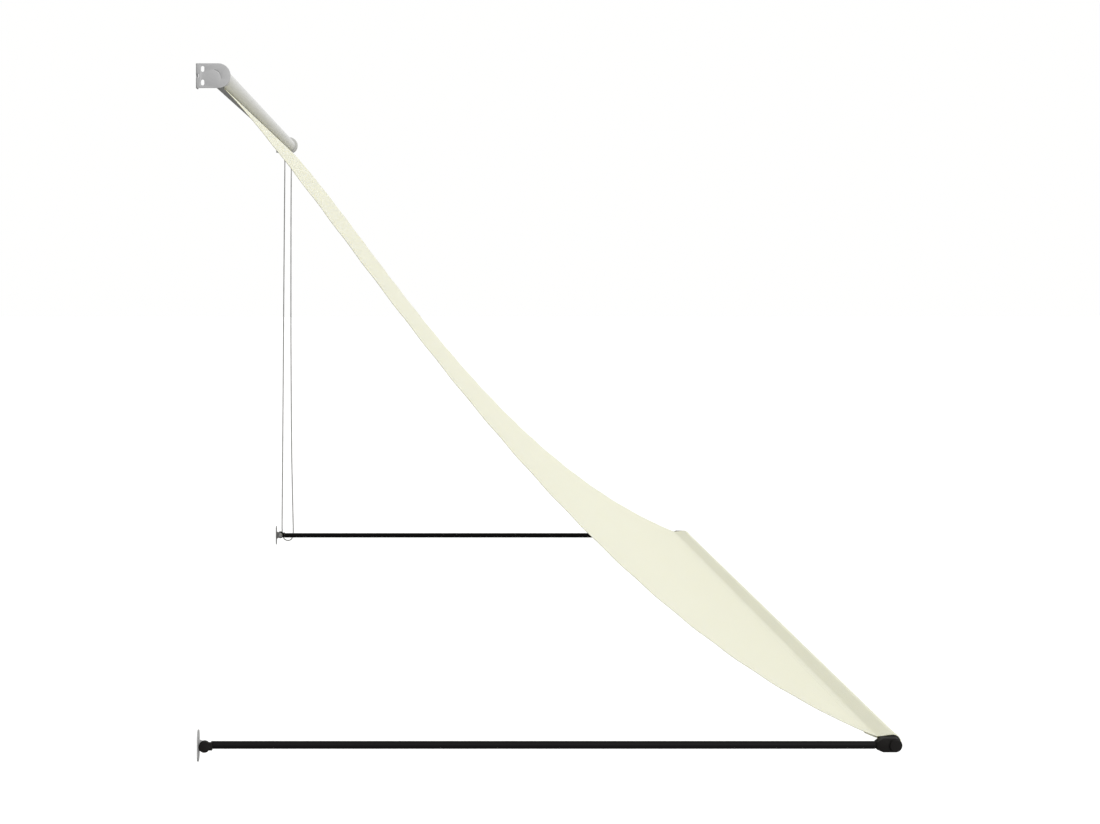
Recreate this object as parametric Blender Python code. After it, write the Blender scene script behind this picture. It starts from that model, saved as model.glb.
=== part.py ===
"""Drop-arm canvas awning, 2 m wide, shown let down with its cloth fully unrolled.

Metres, +Z up. X leaves the wall, whose face is X = 0. Y runs along the wall to the right-hand side.
The origin is the middle of the left arm bracket's back, on the wall, level with the arm pivots.
"""
import math

import bmesh
import bpy
from mathutils import Matrix, Vector

# Overall sizes
OVERALL_WIDTH = 2.0
ARM_PIVOT_OUT = 0.0115
ARM_LENGTH = 1.0915
BAR_RISE = 0.001
ROLLER_OUT = 0.0351
ROLLER_UP = 1.057

# Fits between pieces
SEAT_GAP = 0.0003
RUNNING_GAP = 0.0003
SIDE_PLAY = 0.0005

# Roller brackets, folded from steel sheet
SHEET = 0.002
BRACKET_HEIGHT = 0.0388
BRACKET_FLANGE = 0.022
SLOT_WIDTH = 0.0053
SLOT_LENGTH = 0.0094
SLOT_PITCH = 0.0213
SIDE_SLOT_OUT = 0.0108
FLANGE_SLOT_IN = 0.0128
FOLD_NOTCH_HEIGHT = 0.006
FOLD_NOTCH_DEPTH = 0.0045
FOLD_NOTCH_OUT = 0.005
FOLD_RADIUS = 0.003
FOLD_STEPS = 8
CREST_RADIUS = 0.015
CREST_WIDTH = 0.0014
CREST_DEPTH = 0.0006
CREST_BACK = 0.0097
CREST_DROP = 0.0047
CREST_SPAN = math.radians(75.0)

# Roller tube with its welt channel
ROLLER_RADIUS = 0.016
ROLLER_WALL = 0.0012
ROLLER_INSET = 0.0205
CHANNEL_ANGLE = math.radians(-72.0)
CHANNEL_DEPTH = 0.0028
WELT_RADIUS = 0.0014
CHANNEL_WALL = 0.0009
PLUG_REACH = 0.030
PLUG_LIP = 0.002
CHANNEL_RELIEF = 0.0003

# Idle end
IDLE_PIN_RADIUS = 0.004
IDLE_PIN_LENGTH = 0.036
PIN_BASE_RADIUS = 0.009
PIN_BASE_THICKNESS = 0.0022
BUSH_WALL = 0.0018

# Cord drive at the right-hand end
POST_RADIUS = 0.006
POST_LENGTH = 0.042
POST_BASE_RADIUS = 0.012
WHEEL_PITCH_RADIUS = 0.0095
WHEEL_RIM_RADIUS = 0.013
WHEEL_THICKNESS = 0.0074
WHEEL_HUB_RADIUS = 0.009
GROOVE_MOUTH = 0.0058
SPRING_WIRE = 0.0012
SPRING_TURNS = 6
SPRING_PITCH = 0.003
GUARD_RADIUS = 0.0225
GUARD_WALL = 0.0015
GUARD_DEPTH = 0.0142
GUARD_CHAMFER = 0.0015
GUARD_MOUTH_BACK = 0.017
GUARD_MOUTH_FRONT = 0.011
GUARD_MOUTH_DROP = 0.008

# Arm brackets on the wall
ARM_INSET = 0.030
PLATE_WIDTH = 0.025
PLATE_HEIGHT = 0.050
PLATE_HOLE_RADIUS = 0.003
PLATE_HOLE_SPACING = 0.034
EAR_INSET = 0.0258
EAR_THICKNESS = 0.0026
EAR_ROOT_HEIGHT = 0.019
EAR_TIP_RADIUS = 0.006

# Arms and their moulded knuckles
ARM_RADIUS = 0.006
ARM_WALL = 0.001
ARM_START = 0.0125
ARM_END_SETBACK = 0.0315
PLUG_LENGTH = 0.022
DISC_RADIUS = 0.0088
DISC_INSET = 0.017
DISC_RECESS = 0.0027
COLLAR_START = 0.0097
BRIDGE_WIDTH = 0.002
PIVOT_SCREW_RADIUS = 0.0025
PIVOT_SCREW_DEPTH = 0.006
SCREW_HEAD_RADIUS = 0.0044
SCREW_CROWN_RADIUS = 0.0026
SCREW_HEAD_HEIGHT = 0.0028
WASHER_RADIUS = 0.0052
WASHER_THICKNESS = 0.001

# Front knuckles
KNUCKLE_INSET = 0.023
KNUCKLE_WIDTH = 0.014
KNUCKLE_RADIUS = 0.0108
KNUCKLE_NECK = 0.0055
KNUCKLE_BACK = 0.0295
FLARE_LENGTH = 0.010
KNUCKLE_EDGE = 0.0008

# Front bar and its ends
BAR_RADIUS = 0.012
BAR_WALL = 0.0012
JOURNAL_RADIUS = 0.006
BAR_PLUG_REACH = 0.022
CAP_RADIUS = 0.0096
CAP_THICKNESS = 0.0027
CAP_CHAMFER = 0.0007
CAP_PIN_RADIUS = 0.0025
CAP_PIN_LENGTH = 0.010

# Canopy cloth, one curve from the roller's channel to the bar pocket
CLOTH_INSET = 0.039
CLOTH_THICKNESS = 0.0008
POCKET_TIP = 0.0268
POCKET_BEARING = math.radians(20.8)
TOP_SLOPE = math.radians(46.1)
TOP_REACH = 0.292
FRONT_SLOPE = math.radians(22.0)
FRONT_REACH = 0.535
CLOTH_STEPS = 28

# Pull cord, an endless loop joined on top of its wheel
CORD_RADIUS = 0.0015
CORD_INSET = 0.009
CORD_ROUTE = (
    (0.0343, 1.0665), (0.0296, 1.0648), (0.0265, 1.0610), (0.0256, 1.0570), (0.0248, 1.0490),
    (0.0232, 1.0260), (0.0225, 0.961), (0.0208, 0.771), (0.0188, 0.499), (0.0169, 0.227), (0.0154, 0.050),
    (0.0155, 0.008), (0.0167, -0.0035), (0.0201, -0.0115), (0.0253, -0.0161), (0.0313, -0.0175),
    (0.0375, -0.0161), (0.0423, -0.0115), (0.0450, -0.0035), (0.0457, 0.008), (0.0449, 0.050),
    (0.0414, 0.227), (0.0395, 0.499), (0.0394, 0.771), (0.0399, 0.940), (0.0411, 1.0180), (0.0435, 1.0440),
    (0.0446, 1.0570), (0.0437, 1.0610), (0.0406, 1.0648), (0.0359, 1.0665),
)
CORD_PARTS = 2

# Finishes: colour, roughness, metallic
GREY_STEEL = ("grey_steel", (0.42, 0.42, 0.42), 0.45, 0.2)
LIGHT_GREY_STEEL = ("light_grey_steel", (0.52, 0.52, 0.52), 0.45, 0.2)
ROLLER_GREY = ("roller_grey", (0.60, 0.60, 0.58), 0.35, 0.4)
BRIGHT_STEEL = ("bright_steel", (0.62, 0.62, 0.62), 0.30, 1.0)
BLACK_PAINT = ("black_paint", (0.012, 0.012, 0.012), 0.40, 0.0)
BLACK_PLASTIC = ("black_plastic", (0.018, 0.018, 0.018), 0.50, 0.0)
GREY_PLASTIC = ("grey_plastic", (0.36, 0.36, 0.36), 0.50, 0.0)
WHITE_PLASTIC = ("white_plastic", (0.75, 0.75, 0.73), 0.45, 0.0)
CREAM_CLOTH = ("cream_cloth", (0.84, 0.83, 0.70), 0.85, 0.0)
GREY_CORD = ("grey_cord", (0.50, 0.50, 0.48), 0.80, 0.0)

ROUND_STEPS = 32
BAR_OUT = ARM_PIVOT_OUT + ARM_LENGTH
PLATE_CENTRE_INSET = EAR_INSET + EAR_THICKNESS / 2
LEFT = "left"
RIGHT = "right"
SIDES = (LEFT, RIGHT)


def across(side, inset):
    """Y of a point that lies inset from the outer face of that side's roller bracket."""
    if side == LEFT:
        return inset - PLATE_CENTRE_INSET
    return OVERALL_WIDTH - inset - PLATE_CENTRE_INSET


def finish_material(finish):
    """The Principled material of a finish, made once and shared."""
    name, colour, roughness, metallic = finish
    material = bpy.data.materials.get(name)
    if material is None:
        material = bpy.data.materials.new(name)
        material.use_nodes = True
        shader = material.node_tree.nodes["Principled BSDF"]
        shader.inputs["Base Color"].default_value = (*colour, 1.0)
        shader.inputs["Roughness"].default_value = roughness
        shader.inputs["Metallic"].default_value = metallic
        material.diffuse_color = (*colour, 1.0)
    return material


def add_object(name, shape, finish):
    """Link a finished bmesh to the scene as one object, with round faces smooth and corners sharp."""
    bmesh.ops.recalc_face_normals(shape, faces=shape.faces)
    mesh = bpy.data.meshes.new(name)
    shape.to_mesh(mesh)
    shape.free()
    mesh.shade_smooth()
    mesh.set_sharp_from_angle(angle=math.radians(35.0))
    mesh.materials.append(finish_material(finish))
    piece = bpy.data.objects.new(name, mesh)
    bpy.context.scene.collection.objects.link(piece)
    return piece


def arc(centre, radius, start, end, steps):
    """Points of an arc from angle start to angle end, both included."""
    turns = (start + (end - start) * step / steps for step in range(steps + 1))
    return [(centre[0] + radius * math.cos(turn), centre[1] + radius * math.sin(turn)) for turn in turns]


def circle(centre, radius, steps=ROUND_STEPS):
    return arc(centre, radius, 0.0, 2 * math.pi * (steps - 1) / steps, steps - 1)


def upright_slot(centre, width, length):
    """A slot with round ends, its long way up."""
    reach = (length - width) / 2
    top = arc((centre[0], centre[1] + reach), width / 2, 0.0, math.pi, 6)
    bottom = arc((centre[0], centre[1] - reach), width / 2, math.pi, 2 * math.pi, 6)
    return top + bottom


def rectangle(low_a, high_a, low_b, high_b):
    return [(low_a, low_b), (high_a, low_b), (high_a, high_b), (low_a, high_b)]


def prism(name, outlines, low, high, finish, along="Y"):
    """Flat outlines, the first the edge and the rest holes, extruded from low to high along an axis."""
    shape = bmesh.new()
    edges = []
    for outline in outlines:
        if along == "Z":
            rim = [shape.verts.new((a, b, low)) for a, b in outline]
        elif along == "Y":
            rim = [shape.verts.new((a, low, b)) for a, b in outline]
        else:
            rim = [shape.verts.new((low, a, b)) for a, b in outline]
        edges += [shape.edges.new((rim[index - 1], rim[index])) for index in range(len(rim))]
    bmesh.ops.triangle_fill(shape, use_beauty=True, edges=edges)
    grown = bmesh.ops.extrude_face_region(shape, geom=shape.faces[:], use_keep_orig=True)
    travel = Vector([high - low if axis == along else 0.0 for axis in "XYZ"])
    moved = [item for item in grown["geom"] if isinstance(item, bmesh.types.BMVert)]
    bmesh.ops.translate(shape, verts=moved, vec=travel)
    return add_object(name, shape, finish)


def turned(name, profile, centre, finish, along="Y", ring=False, steps=ROUND_STEPS):
    """A profile of (place along the axis, radius) points, turned about the axis through centre."""
    shape = bmesh.new()
    if along == "Y":
        rim = [shape.verts.new((centre[0], place, centre[1] + radius)) for place, radius in profile]
        axis_point, axis = Vector((centre[0], 0.0, centre[1])), Vector((0.0, 1.0, 0.0))
    else:
        rim = [shape.verts.new((place, centre[0], centre[1] + radius)) for place, radius in profile]
        axis_point, axis = Vector((0.0, centre[0], centre[1])), Vector((1.0, 0.0, 0.0))
    edges = [shape.edges.new(pair) for pair in zip(rim, rim[1:])]
    if ring:
        edges.append(shape.edges.new((rim[-1], rim[0])))
    bmesh.ops.spin(
        shape, geom=rim + edges, cent=axis_point, axis=axis, angle=2 * math.pi, steps=steps, use_merge=True
    )
    bmesh.ops.remove_doubles(shape, verts=shape.verts, dist=1e-6)
    return add_object(name, shape, finish)


def combine(piece, tool, operation):
    """Cut a piece with a hidden tool, or weld the tool's form to it."""
    tool.hide_render = True
    tool.display_type = "WIRE"
    change = piece.modifiers.new(f"{operation.lower()}_{tool.name}"[:60], "BOOLEAN")
    change.operation = operation
    change.solver = "EXACT"
    change.object = tool


def hang_on(piece, pivot):
    """Parent a piece to the empty on its joint axis, leaving it where it is."""
    piece.parent = pivot
    piece.matrix_parent_inverse = Matrix.Translation(-pivot.location)


def add_pivot(name, place):
    pivot = bpy.data.objects.new(name, None)
    pivot.location = place
    pivot.empty_display_size = 0.03
    bpy.context.scene.collection.objects.link(pivot)
    return pivot


def roller_bracket(side):
    """Side plate with a round nose, folded to a wall flange, with fixing slots, a notch and a crest."""
    axis = (ROLLER_OUT, ROLLER_UP)
    nose = BRACKET_HEIGHT / 2
    edge = [(0.0, ROLLER_UP - nose)]
    edge += arc(axis, nose, -math.pi / 2, math.pi / 2, 20)
    edge += [(0.0, ROLLER_UP + nose)]
    slot_heights = (ROLLER_UP - SLOT_PITCH / 2, ROLLER_UP + SLOT_PITCH / 2)
    side_slots = [upright_slot((SIDE_SLOT_OUT, up), SLOT_WIDTH, SLOT_LENGTH) for up in slot_heights]
    outer, inner = across(side, 0.0), across(side, SHEET)
    piece = prism(f"roller_bracket_{side}", [edge] + side_slots, outer, inner, GREY_STEEL)

    root, tip = across(side, SHEET / 2), across(side, BRACKET_FLANGE)
    flange_edge = rectangle(min(root, tip), max(root, tip), ROLLER_UP - nose, ROLLER_UP + nose)
    slot_place = across(side, FLANGE_SLOT_IN)
    flange_slots = [upright_slot((slot_place, up), SLOT_WIDTH, SLOT_LENGTH) for up in slot_heights]
    outlines = [flange_edge] + flange_slots
    flange = prism(f"bracket_flange_{side}", outlines, 0.0, SHEET, GREY_STEEL, along="X")
    combine(piece, flange, "UNION")

    clear = SHEET
    corner_edge = [(-clear, across(side, -clear)), (FOLD_RADIUS, across(side, -clear))]
    for step in range(FOLD_STEPS + 1):
        turn = math.pi / 2 * step / FOLD_STEPS
        inset = FOLD_RADIUS * (1.0 - math.cos(turn))
        corner_edge.append((FOLD_RADIUS * (1.0 - math.sin(turn)), across(side, inset)))
    corner_edge.append((-clear, across(side, FOLD_RADIUS)))
    heights = ROLLER_UP - nose - clear, ROLLER_UP + nose + clear
    corner = prism(f"fold_corner_{side}", [corner_edge], *heights, GREY_STEEL, along="Z")
    combine(piece, corner, "DIFFERENCE")

    half_notch = FOLD_NOTCH_HEIGHT / 2
    notch_edge = rectangle(-SHEET, FOLD_NOTCH_OUT, ROLLER_UP - half_notch, ROLLER_UP + half_notch)
    notch = prism(
        f"fold_notch_{side}", [notch_edge], across(side, -SHEET), across(side, FOLD_NOTCH_DEPTH), GREY_STEEL
    )
    combine(piece, notch, "DIFFERENCE")

    crest_centre = (ROLLER_OUT - CREST_BACK, ROLLER_UP - CREST_DROP)
    crest_edge = arc(crest_centre, CREST_RADIUS, 0.0, CREST_SPAN, 12)
    crest_edge += arc(crest_centre, CREST_RADIUS - CREST_WIDTH, CREST_SPAN, 0.0, 12)
    crest = prism(
        f"pressed_crest_{side}", [crest_edge], across(side, -SHEET), across(side, CREST_DEPTH), GREY_STEEL
    )
    combine(piece, crest, "DIFFERENCE")
    return piece


def channel_point(depth_radius, sideways):
    """A point in the roller's section, given along and across the welt channel's own direction."""
    forward = (math.cos(CHANNEL_ANGLE), math.sin(CHANNEL_ANGLE))
    return (
        ROLLER_OUT + forward[0] * depth_radius - forward[1] * sideways,
        ROLLER_UP + forward[1] * depth_radius + forward[0] * sideways,
    )


def roller_tube():
    """Extruded tube whose wall carries a keyhole channel for the cloth's welt."""
    axis = (ROLLER_OUT, ROLLER_UP)
    pocket_place = ROLLER_RADIUS - CHANNEL_DEPTH
    pocket_centre = channel_point(pocket_place, 0.0)
    pocket = WELT_RADIUS + SEAT_GAP
    half_slot = CLOTH_THICKNESS / 2 + SEAT_GAP
    mouth = math.asin(half_slot / ROLLER_RADIUS)
    throat = math.asin(half_slot / pocket)
    outside = arc(axis, ROLLER_RADIUS, CHANNEL_ANGLE + mouth, CHANNEL_ANGLE + 2 * math.pi - mouth, 40)
    outside += arc(pocket_centre, pocket, CHANNEL_ANGLE - throat, CHANNEL_ANGLE - 2 * math.pi + throat, 14)

    bore = ROLLER_RADIUS - ROLLER_WALL
    swell = pocket + CHANNEL_WALL
    split = math.acos((bore**2 + pocket_place**2 - swell**2) / (2 * bore * pocket_place))
    swell_turn = math.atan2(bore * math.sin(split), bore * math.cos(split) - pocket_place)
    inside = arc(axis, bore, CHANNEL_ANGLE + split, CHANNEL_ANGLE + 2 * math.pi - split, 36)
    swell_start, swell_end = CHANNEL_ANGLE - swell_turn, CHANNEL_ANGLE - 2 * math.pi + swell_turn
    inside += arc(pocket_centre, swell, swell_start, swell_end, 10)[1:-1]
    ends = across(LEFT, ROLLER_INSET), across(RIGHT, ROLLER_INSET)
    return prism("roller_tube", [outside, inside], *ends, ROLLER_GREY)


def welt_rod():
    """Rod sewn into the cloth's top hem, which holds it in the channel."""
    centre = channel_point(ROLLER_RADIUS - CHANNEL_DEPTH, 0.0)
    ends = across(LEFT, CLOTH_INSET), across(RIGHT, CLOTH_INSET)
    return prism("welt_rod", [circle(centre, WELT_RADIUS, 12)], *ends, WHITE_PLASTIC)


def cut_channel_relief(plug, side):
    """Clear the welt channel's swell from a plug that fits in the roller tube."""
    swell = WELT_RADIUS + SEAT_GAP + CHANNEL_WALL + CHANNEL_RELIEF
    floor = ROLLER_RADIUS - CHANNEL_DEPTH - swell
    corners = [(floor, -swell), (2 * ROLLER_RADIUS, -swell), (2 * ROLLER_RADIUS, swell), (floor, swell)]
    outline = [channel_point(depth, sideways) for depth, sideways in corners]
    ends = across(side, ROLLER_INSET - SEAT_GAP), across(side, ROLLER_INSET + 2 * PLUG_REACH)
    combine(plug, prism(f"channel_relief_{side}", [outline], *ends, GREY_PLASTIC), "DIFFERENCE")


def tube_plug(name, side, bore, bore_end):
    """Lipped plug in an end of the roller tube, bored from outside to bore_end, or right through."""
    fit = ROLLER_RADIUS - ROLLER_WALL - SEAT_GAP
    seat = ROLLER_INSET - SEAT_GAP
    axis = (ROLLER_OUT, ROLLER_UP)
    lip = across(side, seat - PLUG_LIP)
    shoulder = across(side, seat)
    end = across(side, seat + PLUG_REACH)
    outer = [(lip, bore), (lip, ROLLER_RADIUS), (shoulder, ROLLER_RADIUS), (shoulder, fit)]
    if bore_end is None:
        plug = turned(name, outer + [(end, fit), (end, bore)], axis, GREY_PLASTIC, ring=True)
    else:
        floor = across(side, bore_end)
        profile = [(floor, 0.0), (floor, bore)] + outer + [(end, fit), (end, 0.0)]
        plug = turned(name, profile, axis, GREY_PLASTIC)
    cut_channel_relief(plug, side)
    return plug


def idle_end():
    """Fixed pin on the left bracket, and the plug with its bush that turns on it."""
    axis = (ROLLER_OUT, ROLLER_UP)
    base = SHEET + SEAT_GAP
    shoulder = across(LEFT, base + PIN_BASE_THICKNESS)
    start, tip = across(LEFT, base), across(LEFT, base + IDLE_PIN_LENGTH)
    profile = [(start, 0.0), (start, PIN_BASE_RADIUS), (shoulder, PIN_BASE_RADIUS)]
    profile += [(shoulder, IDLE_PIN_RADIUS), (tip, IDLE_PIN_RADIUS), (tip, 0.0)]
    pin = turned("idle_pin", profile, axis, BRIGHT_STEEL)

    bush_bore = IDLE_PIN_RADIUS + RUNNING_GAP
    bush_outside = bush_bore + BUSH_WALL
    lip = ROLLER_INSET - SEAT_GAP - PLUG_LIP
    bush_end = base + IDLE_PIN_LENGTH + SIDE_PLAY
    near, far = across(LEFT, lip), across(LEFT, bush_end)
    ring = [(near, bush_bore), (near, bush_outside), (far, bush_outside), (far, bush_bore)]
    bush = turned("idle_bush", ring, axis, WHITE_PLASTIC, ring=True)
    plug = tube_plug("idle_plug", LEFT, bush_outside + SEAT_GAP, bush_end + SEAT_GAP)
    return pin, bush, plug


def clutch_post():
    """Fixed post on the right bracket that the cord wheel turns on and the spring grips."""
    base = SHEET + SEAT_GAP
    shoulder = across(RIGHT, base + PIN_BASE_THICKNESS)
    start, tip = across(RIGHT, base), across(RIGHT, base + POST_LENGTH)
    profile = [(start, 0.0), (start, POST_BASE_RADIUS), (shoulder, POST_BASE_RADIUS)]
    profile += [(shoulder, POST_RADIUS), (tip, POST_RADIUS), (tip, 0.0)]
    return turned("clutch_post", profile, (ROLLER_OUT, ROLLER_UP), GREY_PLASTIC)


def cord_wheel():
    """Wheel with a V groove for the cord and a hub that drives the plug."""
    bore = POST_RADIUS + RUNNING_GAP
    floor = WHEEL_PITCH_RADIUS - CORD_RADIUS - RUNNING_GAP
    half_floor = CORD_RADIUS + RUNNING_GAP
    half = WHEEL_THICKNESS / 2
    hub_end = ROLLER_INSET - SEAT_GAP - PLUG_LIP - SEAT_GAP
    profile = [
        (CORD_INSET - half, bore), (CORD_INSET - half, WHEEL_RIM_RADIUS),
        (CORD_INSET - GROOVE_MOUTH / 2, WHEEL_RIM_RADIUS), (CORD_INSET - half_floor, floor),
        (CORD_INSET + half_floor, floor), (CORD_INSET + GROOVE_MOUTH / 2, WHEEL_RIM_RADIUS),
        (CORD_INSET + half, WHEEL_RIM_RADIUS), (CORD_INSET + half, WHEEL_HUB_RADIUS),
        (hub_end, WHEEL_HUB_RADIUS), (hub_end, bore),
    ]
    placed = [(across(RIGHT, inset), radius) for inset, radius in profile]
    return turned("cord_wheel", placed, (ROLLER_OUT, ROLLER_UP), WHITE_PLASTIC, ring=True)


def clutch_spring():
    """Wrap spring round the post, inside the drive plug."""
    coil_radius = POST_RADIUS + RUNNING_GAP + SPRING_WIRE / 2
    start = ROLLER_INSET + SPRING_WIRE
    per_turn = 14
    bend = bpy.data.curves.new("clutch_spring", "CURVE")
    bend.dimensions = "3D"
    bend.bevel_depth = SPRING_WIRE / 2
    bend.bevel_resolution = 1
    bend.use_fill_caps = True
    wire = bend.splines.new("POLY")
    wire.points.add(SPRING_TURNS * per_turn)
    for index, point in enumerate(wire.points):
        turn = 2 * math.pi * index / per_turn
        inset = start + SPRING_PITCH * index / per_turn
        out = ROLLER_OUT + coil_radius * math.cos(turn)
        point.co = (out, across(RIGHT, inset), ROLLER_UP + coil_radius * math.sin(turn), 1.0)
    bend.materials.append(finish_material(BRIGHT_STEEL))
    spring = bpy.data.objects.new("clutch_spring", bend)
    bpy.context.scene.collection.objects.link(spring)
    return spring


def cord_guard():
    """Cup over the cord wheel, open below where both strands leave."""
    axis = (ROLLER_OUT, ROLLER_UP)
    base = SHEET + SEAT_GAP
    lid = base + GUARD_DEPTH
    bore = WHEEL_HUB_RADIUS + RUNNING_GAP
    inside = GUARD_RADIUS - GUARD_WALL
    profile = [
        (base, inside), (base, GUARD_RADIUS), (lid - GUARD_CHAMFER, GUARD_RADIUS),
        (lid, GUARD_RADIUS - GUARD_CHAMFER), (lid, bore), (lid - GUARD_WALL, bore),
        (lid - GUARD_WALL, inside),
    ]
    placed = [(across(RIGHT, inset), radius) for inset, radius in profile]
    guard = turned("cord_guard", placed, axis, GREY_PLASTIC, ring=True)
    mouth_edge = rectangle(
        ROLLER_OUT - GUARD_MOUTH_BACK, ROLLER_OUT + GUARD_MOUTH_FRONT,
        ROLLER_UP - 2 * GUARD_RADIUS, ROLLER_UP - GUARD_MOUTH_DROP,
    )
    ends = across(RIGHT, 0.0), across(RIGHT, lid - GUARD_WALL)
    combine(guard, prism("guard_mouth", [mouth_edge], *ends, GREY_PLASTIC), "DIFFERENCE")
    return guard


def arm_bracket(side):
    """Wall plate with round ends and two screw holes, and a tapered ear that stands out from it."""
    centre = across(side, PLATE_CENTRE_INSET)
    round_end = PLATE_WIDTH / 2
    straight = PLATE_HEIGHT / 2 - round_end
    edge = arc((centre, straight), round_end, 0.0, math.pi, 14)
    edge += arc((centre, -straight), round_end, math.pi, 2 * math.pi, 14)
    hole_heights = (-PLATE_HOLE_SPACING / 2, PLATE_HOLE_SPACING / 2)
    holes = [circle((centre, up), PLATE_HOLE_RADIUS, 16) for up in hole_heights]
    plate = prism(f"arm_bracket_{side}", [edge] + holes, 0.0, SHEET, LIGHT_GREY_STEEL, along="X")

    root = EAR_ROOT_HEIGHT / 2
    reach = ARM_PIVOT_OUT - SHEET
    tip_turn = math.atan2(root, -reach) - math.acos(EAR_TIP_RADIUS / math.hypot(root, reach))
    ear_edge = [(SHEET / 2, -root), (SHEET, -root)]
    ear_edge += arc((ARM_PIVOT_OUT, 0.0), EAR_TIP_RADIUS, -tip_turn, tip_turn, 14)
    ear_edge += [(SHEET, root), (SHEET / 2, root)]
    hole = circle((ARM_PIVOT_OUT, 0.0), PIVOT_SCREW_RADIUS + RUNNING_GAP, 20)
    ends = across(side, EAR_INSET), across(side, EAR_INSET + EAR_THICKNESS)
    combine(plate, prism(f"bracket_ear_{side}", [ear_edge, hole], *ends, LIGHT_GREY_STEEL), "UNION")
    return plate


def wall_knuckle(side):
    """Moulded pivot disc beside the ear, with a collar and plug for the arm tube."""
    centre = (across(side, ARM_INSET), 0.0)
    inner = EAR_INSET - RUNNING_GAP
    disc = circle((ARM_PIVOT_OUT, 0.0), DISC_RADIUS)
    ends = across(side, DISC_INSET), across(side, inner)
    piece = prism(f"wall_knuckle_{side}", [disc], *ends, BLACK_PLASTIC)

    tube_start = ARM_PIVOT_OUT + ARM_START
    collar_end = tube_start - SEAT_GAP
    web_edge = rectangle(ARM_PIVOT_OUT, collar_end, -ARM_RADIUS, ARM_RADIUS)
    ends = across(side, DISC_INSET + DISC_RECESS), across(side, inner)
    combine(piece, prism(f"knuckle_web_{side}", [web_edge], *ends, BLACK_PLASTIC), "UNION")

    collar_start = ARM_PIVOT_OUT + COLLAR_START
    bridge_edge = rectangle(collar_start, collar_end, -ARM_RADIUS, ARM_RADIUS)
    ends = across(side, inner - BRIDGE_WIDTH), across(side, ARM_INSET)
    combine(piece, prism(f"knuckle_bridge_{side}", [bridge_edge], *ends, BLACK_PLASTIC), "UNION")

    fit = ARM_RADIUS - ARM_WALL - SEAT_GAP
    plug_end = tube_start + PLUG_LENGTH
    profile = [(collar_start, 0.0), (collar_start, ARM_RADIUS), (collar_end, ARM_RADIUS), (collar_end, fit)]
    profile += [(plug_end, fit), (plug_end, 0.0)]
    combine(piece, turned(f"knuckle_plug_{side}", profile, centre, BLACK_PLASTIC, along="X"), "UNION")

    ends = across(side, inner - PIVOT_SCREW_DEPTH - RUNNING_GAP), across(side, ARM_INSET)
    bore_edge = circle((ARM_PIVOT_OUT, 0.0), PIVOT_SCREW_RADIUS + SEAT_GAP, 20)
    combine(piece, prism(f"screw_bore_{side}", [bore_edge], *ends, BLACK_PLASTIC), "DIFFERENCE")
    return piece


def pivot_fastening(side):
    """Screw that passes the ear into the knuckle, and the washer under its head."""
    axis = (ARM_PIVOT_OUT, 0.0)
    ear_face = EAR_INSET + EAR_THICKNESS
    washer_start = ear_face + RUNNING_GAP
    washer_end = washer_start + WASHER_THICKNESS
    bore = PIVOT_SCREW_RADIUS + SEAT_GAP
    near, far = across(side, washer_start), across(side, washer_end)
    ring = [(near, bore), (near, WASHER_RADIUS), (far, WASHER_RADIUS), (far, bore)]
    washer = turned(f"pivot_washer_{side}", ring, axis, BRIGHT_STEEL, ring=True, steps=24)

    tip = across(side, EAR_INSET - RUNNING_GAP - PIVOT_SCREW_DEPTH)
    head = washer_end + SEAT_GAP
    under, shoulder = across(side, head), across(side, head + SCREW_HEAD_HEIGHT / 2)
    crown = across(side, head + SCREW_HEAD_HEIGHT)
    profile = [(tip, 0.0), (tip, PIVOT_SCREW_RADIUS), (under, PIVOT_SCREW_RADIUS)]
    profile += [(under, SCREW_HEAD_RADIUS), (shoulder, SCREW_HEAD_RADIUS)]
    profile += [(crown, SCREW_CROWN_RADIUS), (crown, 0.0)]
    screw = turned(f"pivot_screw_{side}", profile, axis, BRIGHT_STEEL, steps=24)
    return washer, screw


def arm_tube(side):
    """Thin-walled round tube between the two knuckles."""
    start = ARM_PIVOT_OUT + ARM_START
    end = BAR_OUT - ARM_END_SETBACK
    bore = ARM_RADIUS - ARM_WALL
    ring = [(start, bore), (start, ARM_RADIUS), (end, ARM_RADIUS), (end, bore)]
    centre = (across(side, ARM_INSET), 0.0)
    return turned(f"arm_tube_{side}", ring, centre, BLACK_PAINT, along="X", ring=True, steps=24)


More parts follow.
